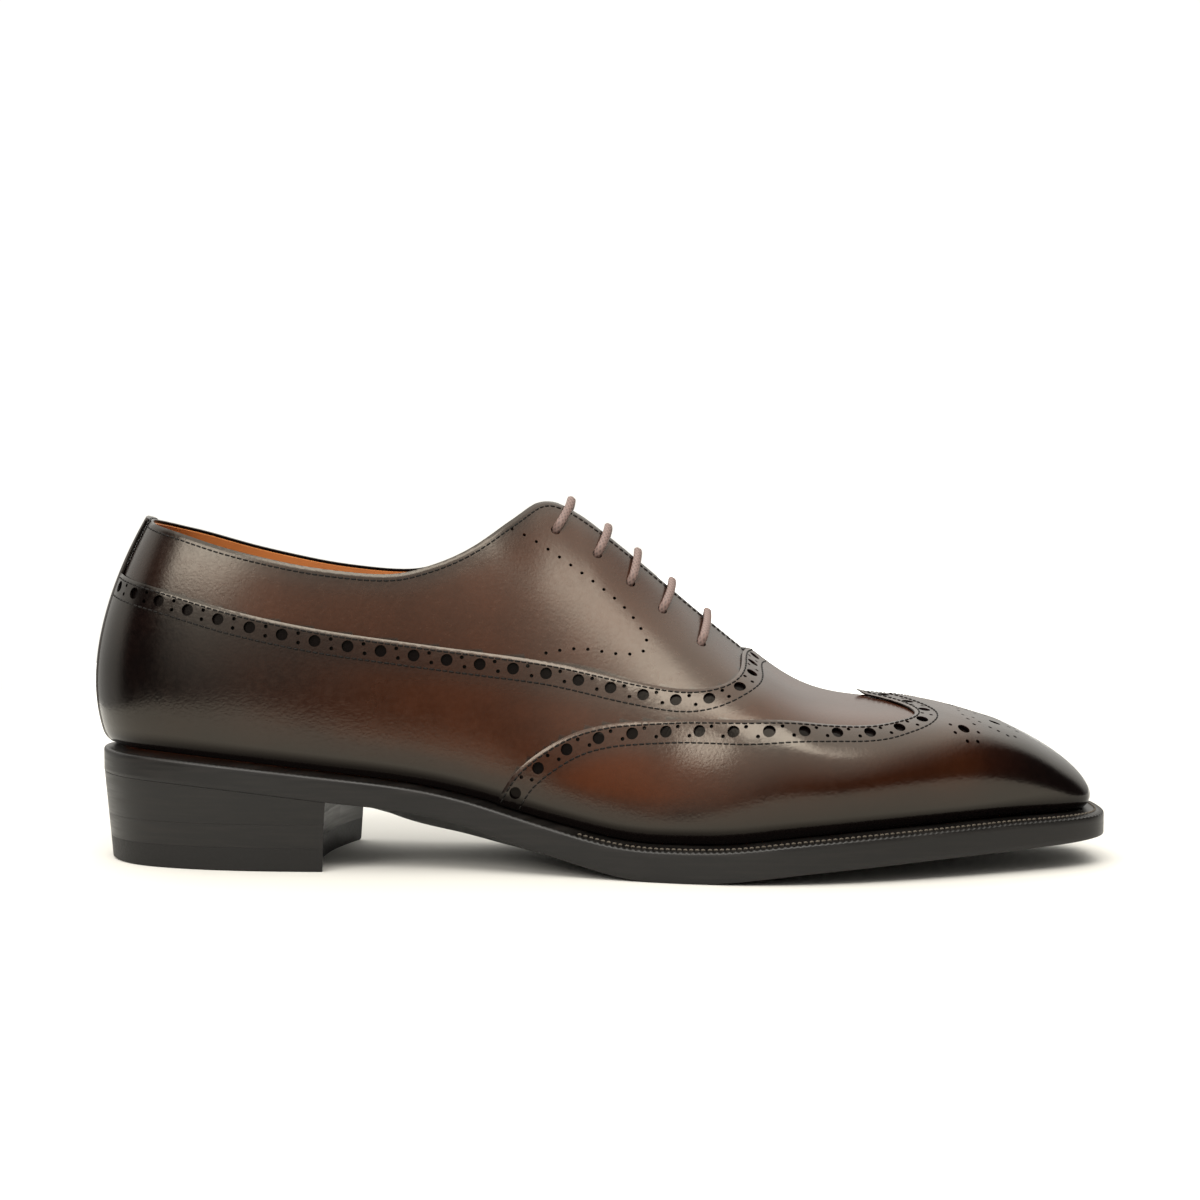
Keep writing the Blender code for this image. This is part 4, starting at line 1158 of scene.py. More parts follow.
class OXFORD_OT_upper(bpy.types.Operator):
    """Quarters with lace holes and pin holes, and the lining inside them"""

    bl_idname = "oxford.upper"
    bl_label = "Quarters and lining"

    def execute(self, context):
        sizes, colours = context.scene.oxford_sizes, context.scene.oxford_colours
        spacing = millimetres(sizes.mesh)
        holes = facing_holes(sizes)
        rows = [inset(COLLAR, distance) for distance in ROLL_ROWS]
        flat, faces = both_sides(*cut_sheet(upper_outline(COLLAR), holes, rows, spacing))

        def tone(points, beside, near):
            x = points[:, 0]
            seam = 1.0 - 0.55 * np.exp(-((beside / 5.0) ** 2))
            facing = 1.0 - 0.2 * smooth_step(150.0, 185.0, x)
            heel = smooth_step(4.0, 60.0, x)
            cut = smooth_step(0.2, 1.2, beside)
            return 0.72 * seam * facing * cut * (0.25 + 0.75 * heel)

        mesh = leather_panel(
            "quarters", flat, faces, 0.0, QUARTER_THICK, [COLLAR], tone, cover=(foxing_outline(), BAND)
        )
        leather = calf_patina("box_calf_quarters", patina_colours(context), 0.25)
        add_piece("quarters", mesh, leather, "upper", "upper")
        edge = inset(COLLAR, 0.9)
        edge[0, 0] = 0.0
        edge[-1, 1] = GIRTH
        lace_holes = holes[:len(LACE_ROWS)]
        flat, faces = both_sides(*cut_sheet(upper_outline(edge), lace_holes, [], spacing * 1.3))
        points, normals = on_last(flat)
        tuck, _ = feather_tuck(points, flat)
        glued = QUARTER_THICK + 0.02
        outer, inner = (points - normals * (depth + tuck)[:, None] for depth in (glued, WALL))
        lining = thick_panel("lining", outer, inner, faces)
        paint(lining, "tone", np.full(len(lining.vertices), EDGE_AND_SHADE_TONE))
        # The outer side is glued to the quarters and shows only at the bottom of the pin holes, where it is
        # painted black as painted shade
        outer_side = np.arange(len(lining.polygons)) < len(faces)
        lining.polygons.foreach_set("material_index", outer_side.astype(np.int32))
        tan = lining_calf("lining_calf", tuple(colours.lining), tuple(colours.lining_dark))
        add_piece("lining", lining, tan, "insole")
        lining.materials.append(leather)
        return {"FINISHED"}


class OXFORD_OT_foxing(bpy.types.Operator):
    """Vamp and foxing panel with its punched band"""

    bl_idname = "oxford.foxing"
    bl_label = "Vamp and foxing"

    def execute(self, context):
        sizes = context.scene.oxford_sizes
        start = STRIP_HALF + GAP
        edge = BAND[BAND[:, 0] > start]
        holes = brogue_row(edge, 4.0, 4.6, BAND_HOLES, sizes)
        rows = [inset(BAND, distance) for distance in ROLL_ROWS]
        flat, faces = both_sides(*cut_sheet(foxing_outline(), holes, rows, millimetres(sizes.mesh)))

        def tone(points, beside, near):
            warm = 0.56 + 0.16 * smooth_step(62.0, 105.0, points[:, 0])
            return burnish(points, beside, near, warm)

        mesh = leather_panel(
            "vamp_and_foxing", flat, faces, FOXING_LEVEL, OVERLAY, [edge], tone, cover=(wing_outline(), WING)
        )
        leather = calf_patina("box_calf_vamp", patina_colours(context), 0.18)
        add_piece("vamp_and_foxing", mesh, leather, "vamp_foxing", "vamp_foxing")
        return {"FINISHED"}


class OXFORD_OT_wing_cap(bpy.types.Operator):
    """Wing cap with its punched edge, the toe's ornament and its lifted tip"""

    bl_idname = "oxford.wing_cap"
    bl_label = "Wing cap"

    def execute(self, context):
        sizes = context.scene.oxford_sizes
        holes = brogue_row(WING, 5.0, 4.0, WING_HOLES, sizes) + medallion_holes(sizes)
        rows = [inset(WING, distance) for distance in ROLL_ROWS]
        flat, faces = both_sides(*cut_sheet(wing_outline(), holes, rows, millimetres(sizes.mesh)))

        def tone(points, beside, near):
            warm = 0.92 - 0.4 * smooth_step(162.0, 205.0, points[:, 0])
            return burnish(points, beside, near, warm)

        mesh = leather_panel("wing_cap_leather", flat, faces, WING_LEVEL, OVERLAY, [WING], tone)
        self.curl_tip(mesh)
        leather = calf_patina("box_calf_wing", patina_colours(context), 0.17)
        add_piece("wing_cap_leather", mesh, leather, "wing_cap", "wing_cap")
        return {"FINISHED"}

    def curl_tip(self, mesh):
        """Lift the wing's pointed tip off the vamp."""
        tip = to_metres(on_last(WING[-1:])[0][0])
        for vertex in mesh.vertices:
            share = max(0.0, 1.0 - (vertex.co - Vector(tip)).length / (CURL_REACH * MM))
            vertex.co.z += CURL_LIFT * MM * share**2


class OXFORD_OT_back_strip(bpy.types.Operator):
    """Strip over the seam at the heel's back"""

    bl_idname = "oxford.back_strip"
    bl_label = "Back strip"

    def execute(self, context):
        sizes = context.scene.oxford_sizes
        top = np.interp(STRIP_HALF, COLLAR[:, 0], COLLAR[:, 1])
        above = COLLAR[(COLLAR[:, 0] > 0.3) & (COLLAR[:, 0] < STRIP_HALF - 0.3)]
        side = line((STRIP_HALF, 0.0), (STRIP_HALF, top), STRIP_STEP)
        outline = np.vstack([
            line((0.0, 0.0), (STRIP_HALF, 0.0), STRIP_STEP)[:-1],
            side,
            above[::-1],
            line((0.0, COLLAR[0, 1]), (0.0, 0.0), STRIP_STEP)[:-1],
        ])
        rows = [side - (distance, 0.0) for distance in ROLL_ROWS]
        flat, faces = both_sides(*cut_sheet(outline, [], rows, millimetres(sizes.mesh)))

        def tone(points, beside, near):
            return 0.10 + 0.05 * smooth_step(2.0, 6.0, beside)

        mesh = leather_panel("heel_strip", flat, faces, STRIP_LEVEL, STRIP_THICK, [side], tone, 0.5)
        leather = calf_patina("box_calf_strip", patina_colours(context), 0.2)
        add_piece("heel_strip", mesh, leather, "back_strip", "back_strip")
        return {"FINISHED"}


class OXFORD_OT_tongue(bpy.types.Operator):
    """Tongue under the facings"""

    bl_idname = "oxford.tongue"
    bl_label = "Tongue"

    def execute(self, context):
        sizes = context.scene.oxford_sizes
        edge = tongue_curve()
        outline = np.vstack([edge, line(edge[-1], edge[0])[1:-1]])
        flat, faces = both_sides(*cut_sheet(outline[::-1], [], [], millimetres(sizes.mesh)))
        points, normals = on_last(flat)
        level = -WALL - GAP
        mesh = thick_panel(
            "tongue_leather", points + normals * level, points + normals * (level - TONGUE_THICK), faces
        )
        paint(mesh, "tone", np.full(2 * len(points), 0.3))
        leather = calf_patina("box_calf_tongue", patina_colours(context), 0.42)
        add_piece("tongue_leather", mesh, leather, "tongue", "tongue")
        return {"FINISHED"}


def stitch_bars(spots, along, normals, length, radius):
    """Sewing stitches: short rounded bars that dip into the leather at both ends."""
    ring = 6
    shares = np.array([-0.5, -0.38, 0.0, 0.38, 0.5]) * length
    widths = np.array([0.45, 0.95, 1.0, 0.95, 0.45]) * radius
    dips = np.array([-0.9, -0.1, 0.25, -0.1, -0.9]) * radius
    angles = np.linspace(0.0, 2.0 * math.pi, ring, endpoint=False)
    along = along - normals * (along * normals).sum(1, keepdims=True)
    along /= np.linalg.norm(along, axis=1, keepdims=True)
    across = np.cross(normals, along)
    points, faces = [], []
    for spot, way, side, out in zip(spots, along, across, normals):
        first = len(points)
        for share, width, dip in zip(shares, widths, dips):
            centre = spot + way * share + out * dip
            for angle in angles:
                points.append(centre + width * (side * math.cos(angle) + out * math.sin(angle)))
        for step in range(len(shares) - 1):
            for corner in range(ring):
                low, high = first + step * ring, first + (step + 1) * ring
                beside = (corner + 1) % ring
                faces.append((low + corner, low + beside, high + beside, high + corner))
        faces.append(tuple(first + corner for corner in reversed(range(ring))))
        faces.append(tuple(first + (len(shares) - 1) * ring + corner for corner in range(ring)))
    return points, faces


def seam_stitches(curves, level, pitch, radius):
    """Stitches along lines on the last, and along their mirror images."""
    parts = []
    for curve in curves:
        run = lengths(curve)[-1]
        count = max(1, int(run / pitch))
        middles = at_lengths(curve, (np.arange(count) + 0.5) * run / count)
        ahead = at_lengths(curve, (np.arange(count) + 0.7) * run / count)
        for here, there in ((middles, ahead), (mirrored(middles), mirrored(ahead))):
            spots, normals = on_last(here)
            tuck, _ = feather_tuck(spots, here)
            along = on_last(there)[0] - spots
            parts.append((spots + normals * (level - tuck)[:, None], along, normals))
    spots, along, normals = (np.vstack(column) for column in zip(*parts))
    return stitch_bars(spots, along, normals, pitch * 0.92, radius)


class OXFORD_OT_stitching(bpy.types.Operator):
    """Rows of stitching along the panels' edges"""

    bl_idname = "oxford.stitching"
    bl_label = "Stitching"

    def execute(self, context):
        sizes, colours = context.scene.oxford_sizes, context.scene.oxford_colours
        pitch, radius = millimetres(sizes.stitch_pitch), millimetres(sizes.thread) / 2.0
        thread = linen_thread("waxed_linen_thread", tuple(colours.thread), 0.5)
        band = BAND[BAND[:, 0] > STRIP_HALF + GAP + 0.5]
        collar = inset(COLLAR[COLLAR[:, 0] > STRIP_HALF + 0.8], COLLAR_STITCH)
        seams = (
            ("collar_stitches", [collar[collar[:, 1] < GIRTH - 0.2]], 0.0, "upper"),
            ("band_stitches", [inset(band, row) for row in STITCH_ROWS], FOXING_LEVEL, "vamp_foxing"),
            ("wing_stitches", [inset(WING, row) for row in STITCH_ROWS], WING_LEVEL, "wing_cap"),
        )
        for name, curves, level, slot in seams:
            points, faces = seam_stitches(curves, level, pitch, radius)
            add_piece(name, mesh_from(name, points, faces), thread, slot)
        return {"FINISHED"}


LACE_FLAT, LACE_WIDE = 0.8, 1.08
LACE_CLEAR = 0.15
LACE_SIDES = 36
LACE_STEP = 0.25
# Depth to which the lace goes down into a hole, and over what distance
DIVE_DEPTH, DIVE_REACH = 4.2, 2.6
TAIL = 0.8
BRAID_PITCH = 1.8
BRAID_STRANDS = 6.0


def sweep(points, ups, radius, sides):
    """A lace along points, pressed a little flat: its skin, and how high each point of it is in the braid."""
    points = np.asarray(points)
    along = np.gradient(points, axis=0)
    along /= np.linalg.norm(along, axis=1, keepdims=True)
    side = np.cross(along, ups)
    side /= np.linalg.norm(side, axis=1, keepdims=True)
    up = np.cross(side, along)
    run = run_of(points)
    angles = np.linspace(0.0, 2.0 * math.pi, sides, endpoint=False)
    turns, runs = np.meshgrid(angles, run)
    # A close braid: two sets of strands that wind round the lace against each other
    wind = 2.0 * math.pi / BRAID_PITCH * runs
    braid = np.maximum(np.sin(BRAID_STRANDS * turns + wind), np.sin(BRAID_STRANDS * turns - wind))
    width = radius * (0.96 + 0.04 * braid)
    skin = (
        points[:, None, :]
        + side[:, None, :] * (LACE_WIDE * np.cos(turns) * width)[..., None]
        + up[:, None, :] * (LACE_FLAT * np.sin(turns) * width)[..., None]
    )
    faces = []
    for row in range(len(points) - 1):
        for corner in range(sides):
            beside = (corner + 1) % sides
            low, high = row * sides, (row + 1) * sides
            faces.append((low + corner, high + corner, high + beside, low + beside))
    faces.append(tuple(range(sides)))
    faces.append(tuple((len(points) - 1) * sides + corner for corner in reversed(range(sides))))
    return skin.reshape(-1, 3), faces, np.clip(0.5 + 0.5 * braid, 0.0, 1.0).ravel()


class OXFORD_OT_laces(bpy.types.Operator):
    """The lace's five bars, each of which goes down into its two holes"""

    bl_idname = "oxford.laces"
    bl_label = "Laces"

    def execute(self, context):
        sizes, colours = context.scene.oxford_sizes, context.scene.oxford_colours
        cotton = waxed_cotton("waxed_cotton_lace", tuple(colours.lace), tuple(colours.lace_dark))
        radius = millimetres(sizes.lace) / 2.0
        for number, (row, spot) in enumerate(zip(LACE_ROWS, lace_spots()), start=1):
            ridge = np.array([LAST.ridge_place(row.ridge_x), 1.0])
            start, top = LAST.surface(*(spot / SHEET)), LAST.surface(*ridge)
            share = np.linspace(1.0, 0.0, 40)[:-1]
            plan = np.column_stack([
                top[0] + (start[0] - top[0]) * share**2, top[1] + (start[1] - top[1]) * share
            ])
            side = np.vstack([LAST.locate(plan, TOP_VIEW), ridge]) * SHEET
            path = np.vstack([side, mirrored(side)[-2::-1]])
            points, normals = on_last(path)
            run = run_of(points)
            from_end = np.minimum(run, run[-1] - run)
            dive = DIVE_DEPTH * np.clip(1.0 - from_end / DIVE_REACH, 0.0, 1.0) ** 2.2
            bar = points + normals * (LACE_FLAT * radius + LACE_CLEAR - dive)[:, None]
            bar = np.vstack([bar[:1] - normals[:1] * TAIL, bar, bar[-1:] - normals[-1:] * TAIL])
            ups = np.vstack([normals[:1], normals, normals[-1:]])
            bar = open_curve(bar, LACE_STEP)
            share = np.linspace(0.0, 1.0, len(bar))
            ups = np.column_stack([
                np.interp(share, np.linspace(0.0, 1.0, len(ups)), ups[:, axis]) for axis in range(3)
            ])
            skin, faces, braid = sweep(bar, ups, radius, LACE_SIDES)
            mesh = mesh_from("lace_%d" % number, skin, faces)
            paint(mesh, "braid", braid)
            add_piece("lace_%d" % number, mesh, cotton, "lace", "lace_bar_%d" % number)
        return {"FINISHED"}


WELT_START = 146.0
WELT_STITCH = 2.5
# Profile of the welt from its lower edge to its top: distance set in, level, depth of the wheel's marks
WeltRow = namedtuple("WeltRow", "inward level mark")
WELT_ROWS = [WeltRow(*row) for row in (
    (-0.12, -WELT_THICK, 0.0),
    (-0.12, -2.0, 0.0),
    (-0.12, -0.75, 0.0),
    (-0.02, -0.35, -0.1),
    (0.2, -0.1, -0.3),
    (0.5, 0.0, -0.36),
    (1.0, 0.02, -0.3),
    (1.5, -0.1, -0.1),
    (2.0, -0.12, 0.0),
)]
# Profile of the outsole's edge from its top down: distance set in, share of its thickness, lift
OutsoleRow = namedtuple("OutsoleRow", "inward share lift")
OUTSOLE_ROWS = [OutsoleRow(*row) for row in (
    (-0.12, 1.0, 0.0),
    (-0.12, 0.65, 0.0),
    (-0.12, 0.3, 0.0),
    (-0.1, 0.0, 0.3),
    (0.0, 0.0, 0.1),
    (0.3, 0.0, 0.0),
)]
# Profile of the sock over the insole, from below: distance set in, level
SOCK_TOP = INSOLE_THICK - 0.3
SOCK_ROWS = ((0.0, 0.0), (0.0, INSOLE_THICK - 1.0), (0.35, INSOLE_THICK - 0.4), (1.0, SOCK_TOP))
BRIDGE_COLUMNS = 9
LIFT_BEVEL = 0.03
TREAD_ROUND = 0.5
LIFT_SEAM = 0.01


def ring_places(step):
    """Places all the way round the sole, the same on both sides."""
    count = int(round(LAST.half / step))
    lateral = np.linspace(0.0, LAST.half, count + 1)
    return np.concatenate([lateral, LAST.whole - lateral[-2:0:-1]])


def loft(rings, closed=True):
    """Faces between closed rings of points. The last ring joins the first where the loft is closed."""
    count = len(rings[0])
    faces = []
    for number in range(len(rings) if closed else len(rings) - 1):
        low, high = number * count, ((number + 1) % len(rings)) * count
        for corner in range(count):
            beside = (corner + 1) % count
            faces.append((low + corner, low + beside, high + beside, high + corner))
    return np.vstack(rings), faces


def lifted(flat, level):
    """Plan points at a height."""
    return np.concatenate([flat, np.asarray(level)[..., None]], axis=-1)


def bridge(flat, level):
    """A cap over a ring that runs out along the lateral side and back along the medial one.

    Rows go across from side to side. It gives the points between the sides, and faces that run over both.
    """
    count, half = len(flat), len(flat) // 2
    numbers = np.repeat(np.arange(half + 1)[:, None], BRIDGE_COLUMNS, axis=1)
    points, faces = [], []
    for row in range(1, half):
        near, far = flat[row], flat[count - row]
        for column in range(1, BRIDGE_COLUMNS - 1):
            share = column / (BRIDGE_COLUMNS - 1)
            numbers[row, column] = count + len(points)
            points.append((*(near + (far - near) * share), level(row, share)))
        numbers[row, -1] = count - row
    for row in range(half):
        for column in range(BRIDGE_COLUMNS - 1):
            face = [*numbers[row:row + 2, column], *numbers[row:row + 2, column + 1][::-1]]
            kept = [corner for place, corner in enumerate(face) if corner != face[place - 1]]
            if len(set(kept)) > 2:
                faces.append(tuple(kept))
    return points, faces


def close_ring(points, faces, first, count, level, flip):
    """Add a cap over one ring of a loft to its points and faces."""
    more, cap = bridge(np.array(points[first:first + count])[:, :2], level)
    shift = len(points) - count
    for face in cap:
        named = [corner + (first if corner < count else shift) for corner in face]
        faces.append(tuple(named[::-1] if flip else named))
    points += [np.array(point) for point in more]


class OXFORD_OT_welt(bpy.types.Operator):
    """Welt with its wheeled edge and its row of stitches"""

    bl_idname = "oxford.welt"
    bl_label = "Welt"

    def execute(self, context):
        colours = context.scene.oxford_colours
        pitch = millimetres(context.scene.oxford_sizes.welt_pitch)
        places = ring_places(pitch / 6.0)
        outer, rise, thick, _, _ = LAST.edge(places)
        top = rise + thick
        run = run_of(outer)
        forefoot = smooth_step(WELT_START - 8.0, WELT_START + 8.0, outer[:, 0])
        wheel = (0.5 - 0.5 * np.cos(2.0 * math.pi * run / pitch)) * (0.25 + 0.75 * forefoot)
        width = LAST.reach(places) + WELT_TUCK
        rings = []
        for row in WELT_ROWS:
            flat = LAST.edge(places, np.full_like(places, row.inward))[0]
            slope = WELT_FALL * max(row.inward, 0.0) / width
            rings.append(lifted(flat, top + row.level + slope + row.mark * wheel))
        inner = LAST.edge(places, width)[0]
        rings.append(lifted(inner, top + WELT_FALL))
        rings.append(lifted(inner, top - WELT_THICK))
        points, faces = loft(rings)
        ink = waxed_edge("waxed_welt_leather", tuple(colours.edge), tuple(colours.edge_light))
        add_piece("welt_leather", mesh_from("welt_leather", points, faces, crease=50.0), ink, "welt", "welt")
        self.add_stitches(context, pitch)
        return {"FINISHED"}

    def add_stitches(self, context, pitch):
        """A row of stitches beside the upper, round the forefoot."""
        sizes, colours = context.scene.oxford_sizes, context.scene.oxford_colours
        places = ring_places(pitch / 6.0)
        outer, rise, thick, _, _ = LAST.edge(places)
        run = run_of(outer)
        width = LAST.reach(places) + WELT_TUCK
        level = rise + thick + WELT_FALL * WELT_STITCH / width - 0.05
        row = lifted(LAST.edge(places, np.full_like(places, WELT_STITCH))[0], level)
        marks = np.searchsorted(run, np.arange(0.5, run[-1] / pitch) * pitch)
        marks = marks[outer[marks, 0] > WELT_START]
        along = np.roll(row, -1, axis=0) - row
        upward = np.tile((0.0, 0.0, 1.0), (len(marks), 1))
        radius = millimetres(sizes.thread) * 0.6
        points, faces = stitch_bars(row[marks], along[marks], upward, pitch * 0.75, radius)
        thread = linen_thread("waxed_welt_thread", tuple(colours.welt_thread), 0.6)
        add_piece("welt_stitches", mesh_from("welt_stitches", points, faces), thread, "welt")


class OXFORD_OT_sole(bpy.types.Operator):
    """Leather outsole, and the stacked heel with its rubber top piece"""

    bl_idname = "oxford.sole"
    bl_label = "Sole and heel"

    def execute(self, context):
        colours = context.scene.oxford_colours
        ink = waxed_edge("waxed_sole_leather", tuple(colours.edge), tuple(colours.edge_light))
        rubber = heel_rubber("heel_rubber", tuple(colours.rubber))
        self.add_outsole(ink)
        self.add_heel(ink, rubber)
        return {"FINISHED"}

    def add_outsole(self, ink):
        """The outsole: its edge, its hollow underside and its top."""
        places = ring_places(1.6)
        _, rise, thick, crown, _ = LAST.edge(places)
        top = rise + thick - WELT_THICK
        rings = []
        for row in OUTSOLE_ROWS:
            flat = LAST.edge(places, np.full_like(places, row.inward))[0]
            rings.append(lifted(flat, rise + row.share * (top - rise) + row.lift))
        points, faces = loft(rings, closed=False)
        points, count = list(points), len(places)

        def belly(row, share):
            return max(0.0, rise[row] - crown[row] * (1.0 - (2.0 * share - 1.0) ** 2))

        def roof(row, share):
            return top[row]

        close_ring(points, faces, (len(rings) - 1) * count, count, belly, True)
        close_ring(points, faces, 0, count, roof, False)
        mesh = mesh_from("outsole_leather", points, faces, crease=40.0)
        add_piece("outsole_leather", mesh, ink, "outsole", "outsole")

    def breast_place(self, sign):
        """The place where one side of the heel meets its breast."""
        places = np.linspace(0.0, LAST.half / 2.0, 1500)
        flat = LAST.edge(places if sign < 0.0 else LAST.whole - places)[0]
        return np.interp(0.0, flat[:, 0] - BREAST_X - BREAST_SKEW * flat[:, 1], places)

    def heel_ring(self, level, shrink):
        """The heel's outline at a height: along both sides to the breast, and across the hollow breast."""
        taper = HEEL_TAPER * (1.0 - level / HEEL_HEIGHT) + shrink
        count, across = 90, 41
        lateral = np.linspace(0.0, self.breast_place(-1.0), count)
        medial = LAST.whole - np.linspace(0.0, self.breast_place(1.0), count)
        near = LAST.edge(lateral, np.full(count, taper))[0]
        far = LAST.edge(medial, np.full(count, taper))[0]
        share = np.linspace(0.0, 1.0, across)[:, None]
        front = near[-1] + (far[-1] - near[-1]) * share
        front[:, 0] -= BREAST_HOLLOW * (1.0 - (2.0 * share[:, 0] - 1.0) ** 2)
        ring = np.vstack([near[:-1], front, far[-2:0:-1]])
        back = smooth_step(0.0, 1.0, (ring[:, 0] - 40.0) / 30.0) * taper / 2.0
        ring[:, 0] -= back
        return ring

    def add_heel(self, ink, rubber):
        """Two lifts of leather and the top piece, with hairline joints."""
        places = np.linspace(0.0, LAST.half, 400)
        edge, rise, _, _, _ = LAST.edge(places)
        upper_joint, lower_joint = LIFT_JOINTS
        seat = self.heel_ring(HEEL_HEIGHT, 0.0)
        seat_level = np.interp(seat[:, 0], edge[:, 0], rise) - LIFT_BEVEL
        lifts = (
            ("heel_seat", "heel_seat_lift", None, upper_joint + LIFT_SEAM, ink),
            ("heel_middle", "heel_mid_lift", upper_joint - LIFT_SEAM, lower_joint + LIFT_SEAM, ink),
            ("heel_tread", "heel_top_piece", lower_joint - LIFT_SEAM, 0.0, rubber),
        )
        for name, node, high, low, material in lifts:
            upper_edge = seat if high is None else self.heel_ring(high, 0.0)
            level = seat_level if high is None else np.full(len(upper_edge), high)
            foot = TREAD_ROUND if low == 0.0 else LIFT_BEVEL
            inner_edge = self.heel_ring(HEEL_HEIGHT if high is None else high, LIFT_BEVEL)
            rings = [
                lifted(inner_edge, level), lifted(upper_edge, level - LIFT_BEVEL),
                lifted(self.heel_ring(low + foot, 0.0), np.full(len(seat), low + foot)),
                lifted(self.heel_ring(low, foot), np.full(len(seat), low)),
            ]
            points, faces = loft(rings, closed=False)
            count = len(seat)
            faces.append(tuple(range(count)))
            faces.append(tuple(3 * count + corner for corner in reversed(range(count))))
            add_piece(name, mesh_from(name, points, faces, crease=30.0), material, node, node)


class OXFORD_OT_insole(bpy.types.Operator):
    """Sock leather over the insole"""

    bl_idname = "oxford.insole"
    bl_label = "Insole"

    def execute(self, context):
        colours = context.scene.oxford_colours
        places = ring_places(2.4)
        _, rise, thick, _, _ = LAST.edge(places)
        base = rise + thick - WELT_THICK + GAP
        rings = []
        for distance, level in SOCK_ROWS:
            flat = LAST.edge(places, LAST.reach(places) + INSOLE_CLEAR + distance)[0]
            rings.append(lifted(flat, base + level))
        points, faces = loft(rings, closed=False)
        points, faces = list(points), [tuple(reversed(face)) for face in faces]
        count = len(places)
        last = (len(rings) - 1) * count
        close_ring(points, faces, last, count, lambda row, share: base[row] + SOCK_TOP, False)
        close_ring(points, faces, 0, count, lambda row, share: base[row], True)
        sock = lining_calf("sock_calf", tuple(colours.lining), tuple(colours.lining_dark))
        add_piece("sock", mesh_from("sock", points, faces), sock, "insole", "insole")
        return {"FINISHED"}


class OXFORD_OT_stage(bpy.types.Operator):
    """White floor, soft studio light and the camera"""

    bl_idname = "oxford.stage"
    bl_label = "Stage"

    def execute(self, context):
        self.add_floor()
        self.add_lights(context)
        self.add_camera(context)
        return {"FINISHED"}

    def add_floor(self):
        """Pale paper under the shoe."""
        left, right, front, back = -0.36, 0.75, -0.8, 2.5
        corners = [(left, front, 0.0), (right, front, 0.0), (right, back, 0.0), (left, back, 0.0)]
        mesh = bpy.data.meshes.new("studio_floor")
        mesh.from_pydata(corners, [], [(0, 1, 2, 3)])
        floor = bpy.data.objects.new("studio_floor", mesh)
        bpy.context.scene.collection.objects.link(floor)
        material, tree, shader = new_material("white_sweep_paper")
        space = add_node(tree, "ShaderNodeTexCoord").outputs["Object"]
        depth = add_node(tree, "ShaderNodeSeparateXYZ", {"Vector": space}).outputs["Y"]
        # Painted light: the paper glows more the further it lies behind the shoe, standing in for background
        # lamps that wash it out
        paper_glow = add_node(
            tree, "ShaderNodeMapRange", {"Value": depth, "From Min": 0.1, "From Max": 0.9, "To Max": 1.1}
        ).outputs["Result"]
        fill_inputs(tree, shader, {
            "Base Color": hex_colour("#c6c5c1"), "Roughness": 0.9,
            "Emission Color": hex_colour("#ffffff"), "Emission Strength": paper_glow,
        })
        mesh.materials.append(material)

    def add_lights(self, context):
        """A pale room that the polished leather mirrors, and two softboxes."""
        world = bpy.data.worlds.new("studio")
        context.scene.world = world
        world.use_nodes = True
        tree = world.node_tree
        way = add_node(tree, "ShaderNodeTexCoord").outputs["Generated"]
        parts = add_node(tree, "ShaderNodeSeparateXYZ", {"Vector": way})
        # White paper behind the shoe, further round at its left
        backward = add_node(
            tree, "ShaderNodeVectorMath", {0: way, 1: (-0.25, 1.0, 0.0)}, operation="DOT_PRODUCT"
        ).outputs["Value"]
        behind = add_node(
            tree, "ShaderNodeMapRange", {"Value": backward, "From Min": 0.0, "From Max": 0.4},
            interpolation_type="SMOOTHSTEP",
        ).outputs["Result"]
        rising = add_node(
            tree, "ShaderNodeMapRange",
            {"Value": parts.outputs["Z"], "From Max": 0.7, "To Min": 0.55, "To Max": 1.5},
        ).outputs["Result"]
        paper = add_node(tree, "ShaderNodeMath", {0: behind, 1: rising}, operation="MULTIPLY").outputs[0]
        # A pale ceiling between dark side walls, a little lower at the left
        upward = add_node(
            tree, "ShaderNodeVectorMath", {0: way, 1: (-0.25, 0.0, 1.0)}, operation="DOT_PRODUCT"
        ).outputs["Value"]
        ceiling = add_node(
            tree, "ShaderNodeMapRange", {"Value": upward, "From Min": 0.02, "From Max": 0.8, "To Max": 2.9}
        ).outputs["Result"]
        aside = add_node(tree, "ShaderNodeMath", {0: parts.outputs["X"]}, operation="ABSOLUTE").outputs[0]
        inward = add_node(
            tree, "ShaderNodeMapRange",
            {"Value": aside, "From Min": 0.5, "From Max": 0.75, "To Min": 1.0, "To Max": 0.0},
        ).outputs["Result"]
        room = add_node(tree, "ShaderNodeMath", {0: ceiling, 1: inward}, operation="MULTIPLY").outputs[0]
        glow = add_node(tree, "ShaderNodeMath", {0: room, 1: paper}, operation="MAXIMUM").outputs[0]
        camera = add_node(tree, "ShaderNodeLightPath").outputs["Is Camera Ray"]
        seen = add_node(tree, "ShaderNodeMapRange", {"Value": camera, "To Max": 1.1}).outputs["Result"]
        strength = add_node(tree, "ShaderNodeMath", {0: glow, 1: seen}, operation="MAXIMUM").outputs[0]
        fill_inputs(tree, tree.nodes["Background"], {"Color": hex_colour("#fffcf5"), "Strength": strength})
        target = Vector((0.0, 0.0, 0.05))
        for name, spot, width, depth, power, roll in (
            ("overhead_softbox", (0.10, -0.77, 1.03), 0.90, 0.44, 10.0, 9.0),
            ("left_softbox", (-0.86, -1.02, 0.78), 0.75, 0.42, 8.8, 0.0),
        ):
            light = bpy.data.lights.new(name, "AREA")
            light.shape = "RECTANGLE"
            light.size, light.size_y = width, depth
            light.energy = power
            light.color = hex_colour("#fffaf2")[:3]
            lamp = bpy.data.objects.new(name, light)
            lamp.location = spot
            aim = (target - lamp.location).to_track_quat("-Z", "Y")
            lamp.rotation_euler = (aim @ Quaternion((0.0, 0.0, 1.0), math.radians(roll))).to_euler()
            context.scene.collection.objects.link(lamp)
        context.scene.view_settings.view_transform = "Standard"

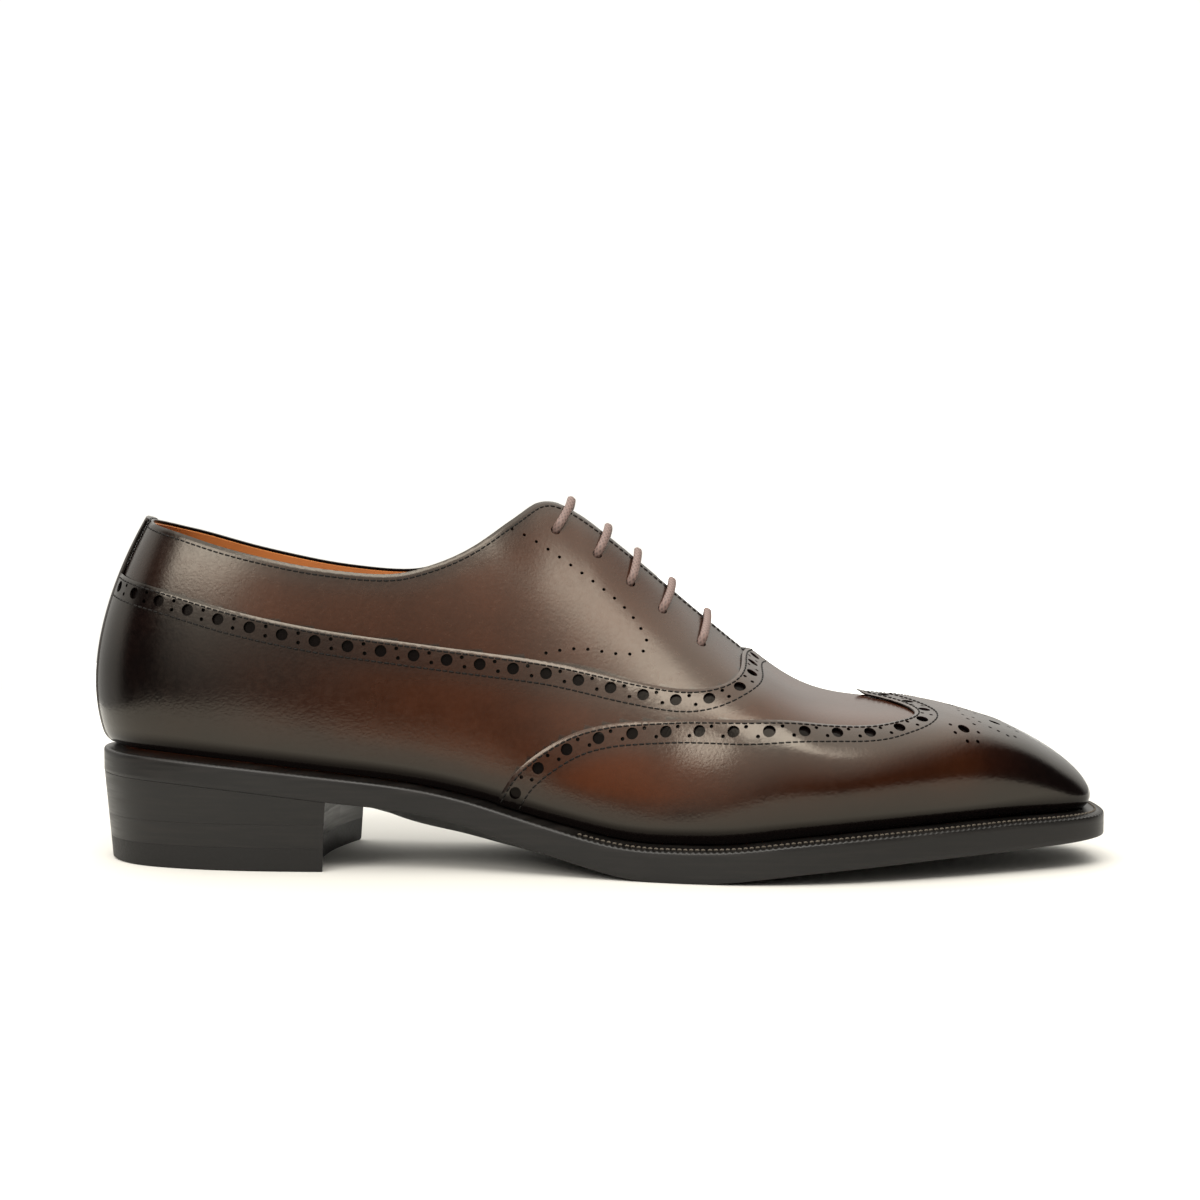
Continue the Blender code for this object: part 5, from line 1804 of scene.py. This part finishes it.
    def add_camera(self, context):
        """The camera at the photograph's angle. Focal length, horizon and picture are in pixels."""
        focal, horizon, picture = 2131.0, 503.0, 1200.0
        yaw = math.radians(1.5)
        pitch = math.atan((picture / 2.0 - horizon) / focal)
        distance, height, middle_x = 650.0, 108.0, 152.0
        ahead = np.array([-math.sin(yaw), math.cos(yaw), 0.0])
        spot = np.array([middle_x, 0.0, 0.0]) - distance * ahead
        spot[2] = height
        lens = bpy.data.cameras.new("camera")
        lens.sensor_width = 36.0
        lens.lens = 36.0 * focal / picture
        lens.clip_start = 0.01
        camera = bpy.data.objects.new("camera", lens)
        turn = Matrix.Rotation(yaw, 4, "Z") @ Matrix.Rotation(math.pi / 2.0 - pitch, 4, "X")
        camera.matrix_world = Matrix.Translation(to_metres(spot)) @ turn
        bpy.context.scene.collection.objects.link(camera)
        context.scene.camera = camera


PIECES = (
    OXFORD_OT_upper, OXFORD_OT_foxing, OXFORD_OT_wing_cap, OXFORD_OT_back_strip, OXFORD_OT_tongue,
    OXFORD_OT_stitching, OXFORD_OT_laces, OXFORD_OT_welt, OXFORD_OT_sole, OXFORD_OT_insole, OXFORD_OT_stage,
)


class OXFORD_PT_shoe(bpy.types.Panel):
    """Sizes, colours and pieces of the shoe"""

    bl_label = "Wingtip Oxford"
    bl_idname = "OXFORD_PT_shoe"
    bl_space_type = "VIEW_3D"
    bl_region_type = "UI"
    bl_category = "Shoe"

    def draw(self, context):
        layout = self.layout
        for group in (context.scene.oxford_sizes, context.scene.oxford_colours):
            box = layout.box()
            for name in group.__annotations__:
                box.prop(group, name)
        for piece in PIECES:
            layout.operator(piece.bl_idname)


CLASSES = (OxfordSizes, OxfordColours, *PIECES, OXFORD_PT_shoe)


def register():
    for entry in CLASSES:
        bpy.utils.register_class(entry)
    bpy.types.Scene.oxford_sizes = bpy.props.PointerProperty(type=OxfordSizes)
    bpy.types.Scene.oxford_colours = bpy.props.PointerProperty(type=OxfordColours)


def unregister():
    del bpy.types.Scene.oxford_colours
    del bpy.types.Scene.oxford_sizes
    for entry in reversed(CLASSES):
        bpy.utils.unregister_class(entry)


def main():
    register()
    for piece in PIECES:
        group, name = piece.bl_idname.split(".")
        getattr(getattr(bpy.ops, group), name)()


if __name__ == "__main__":
    main()
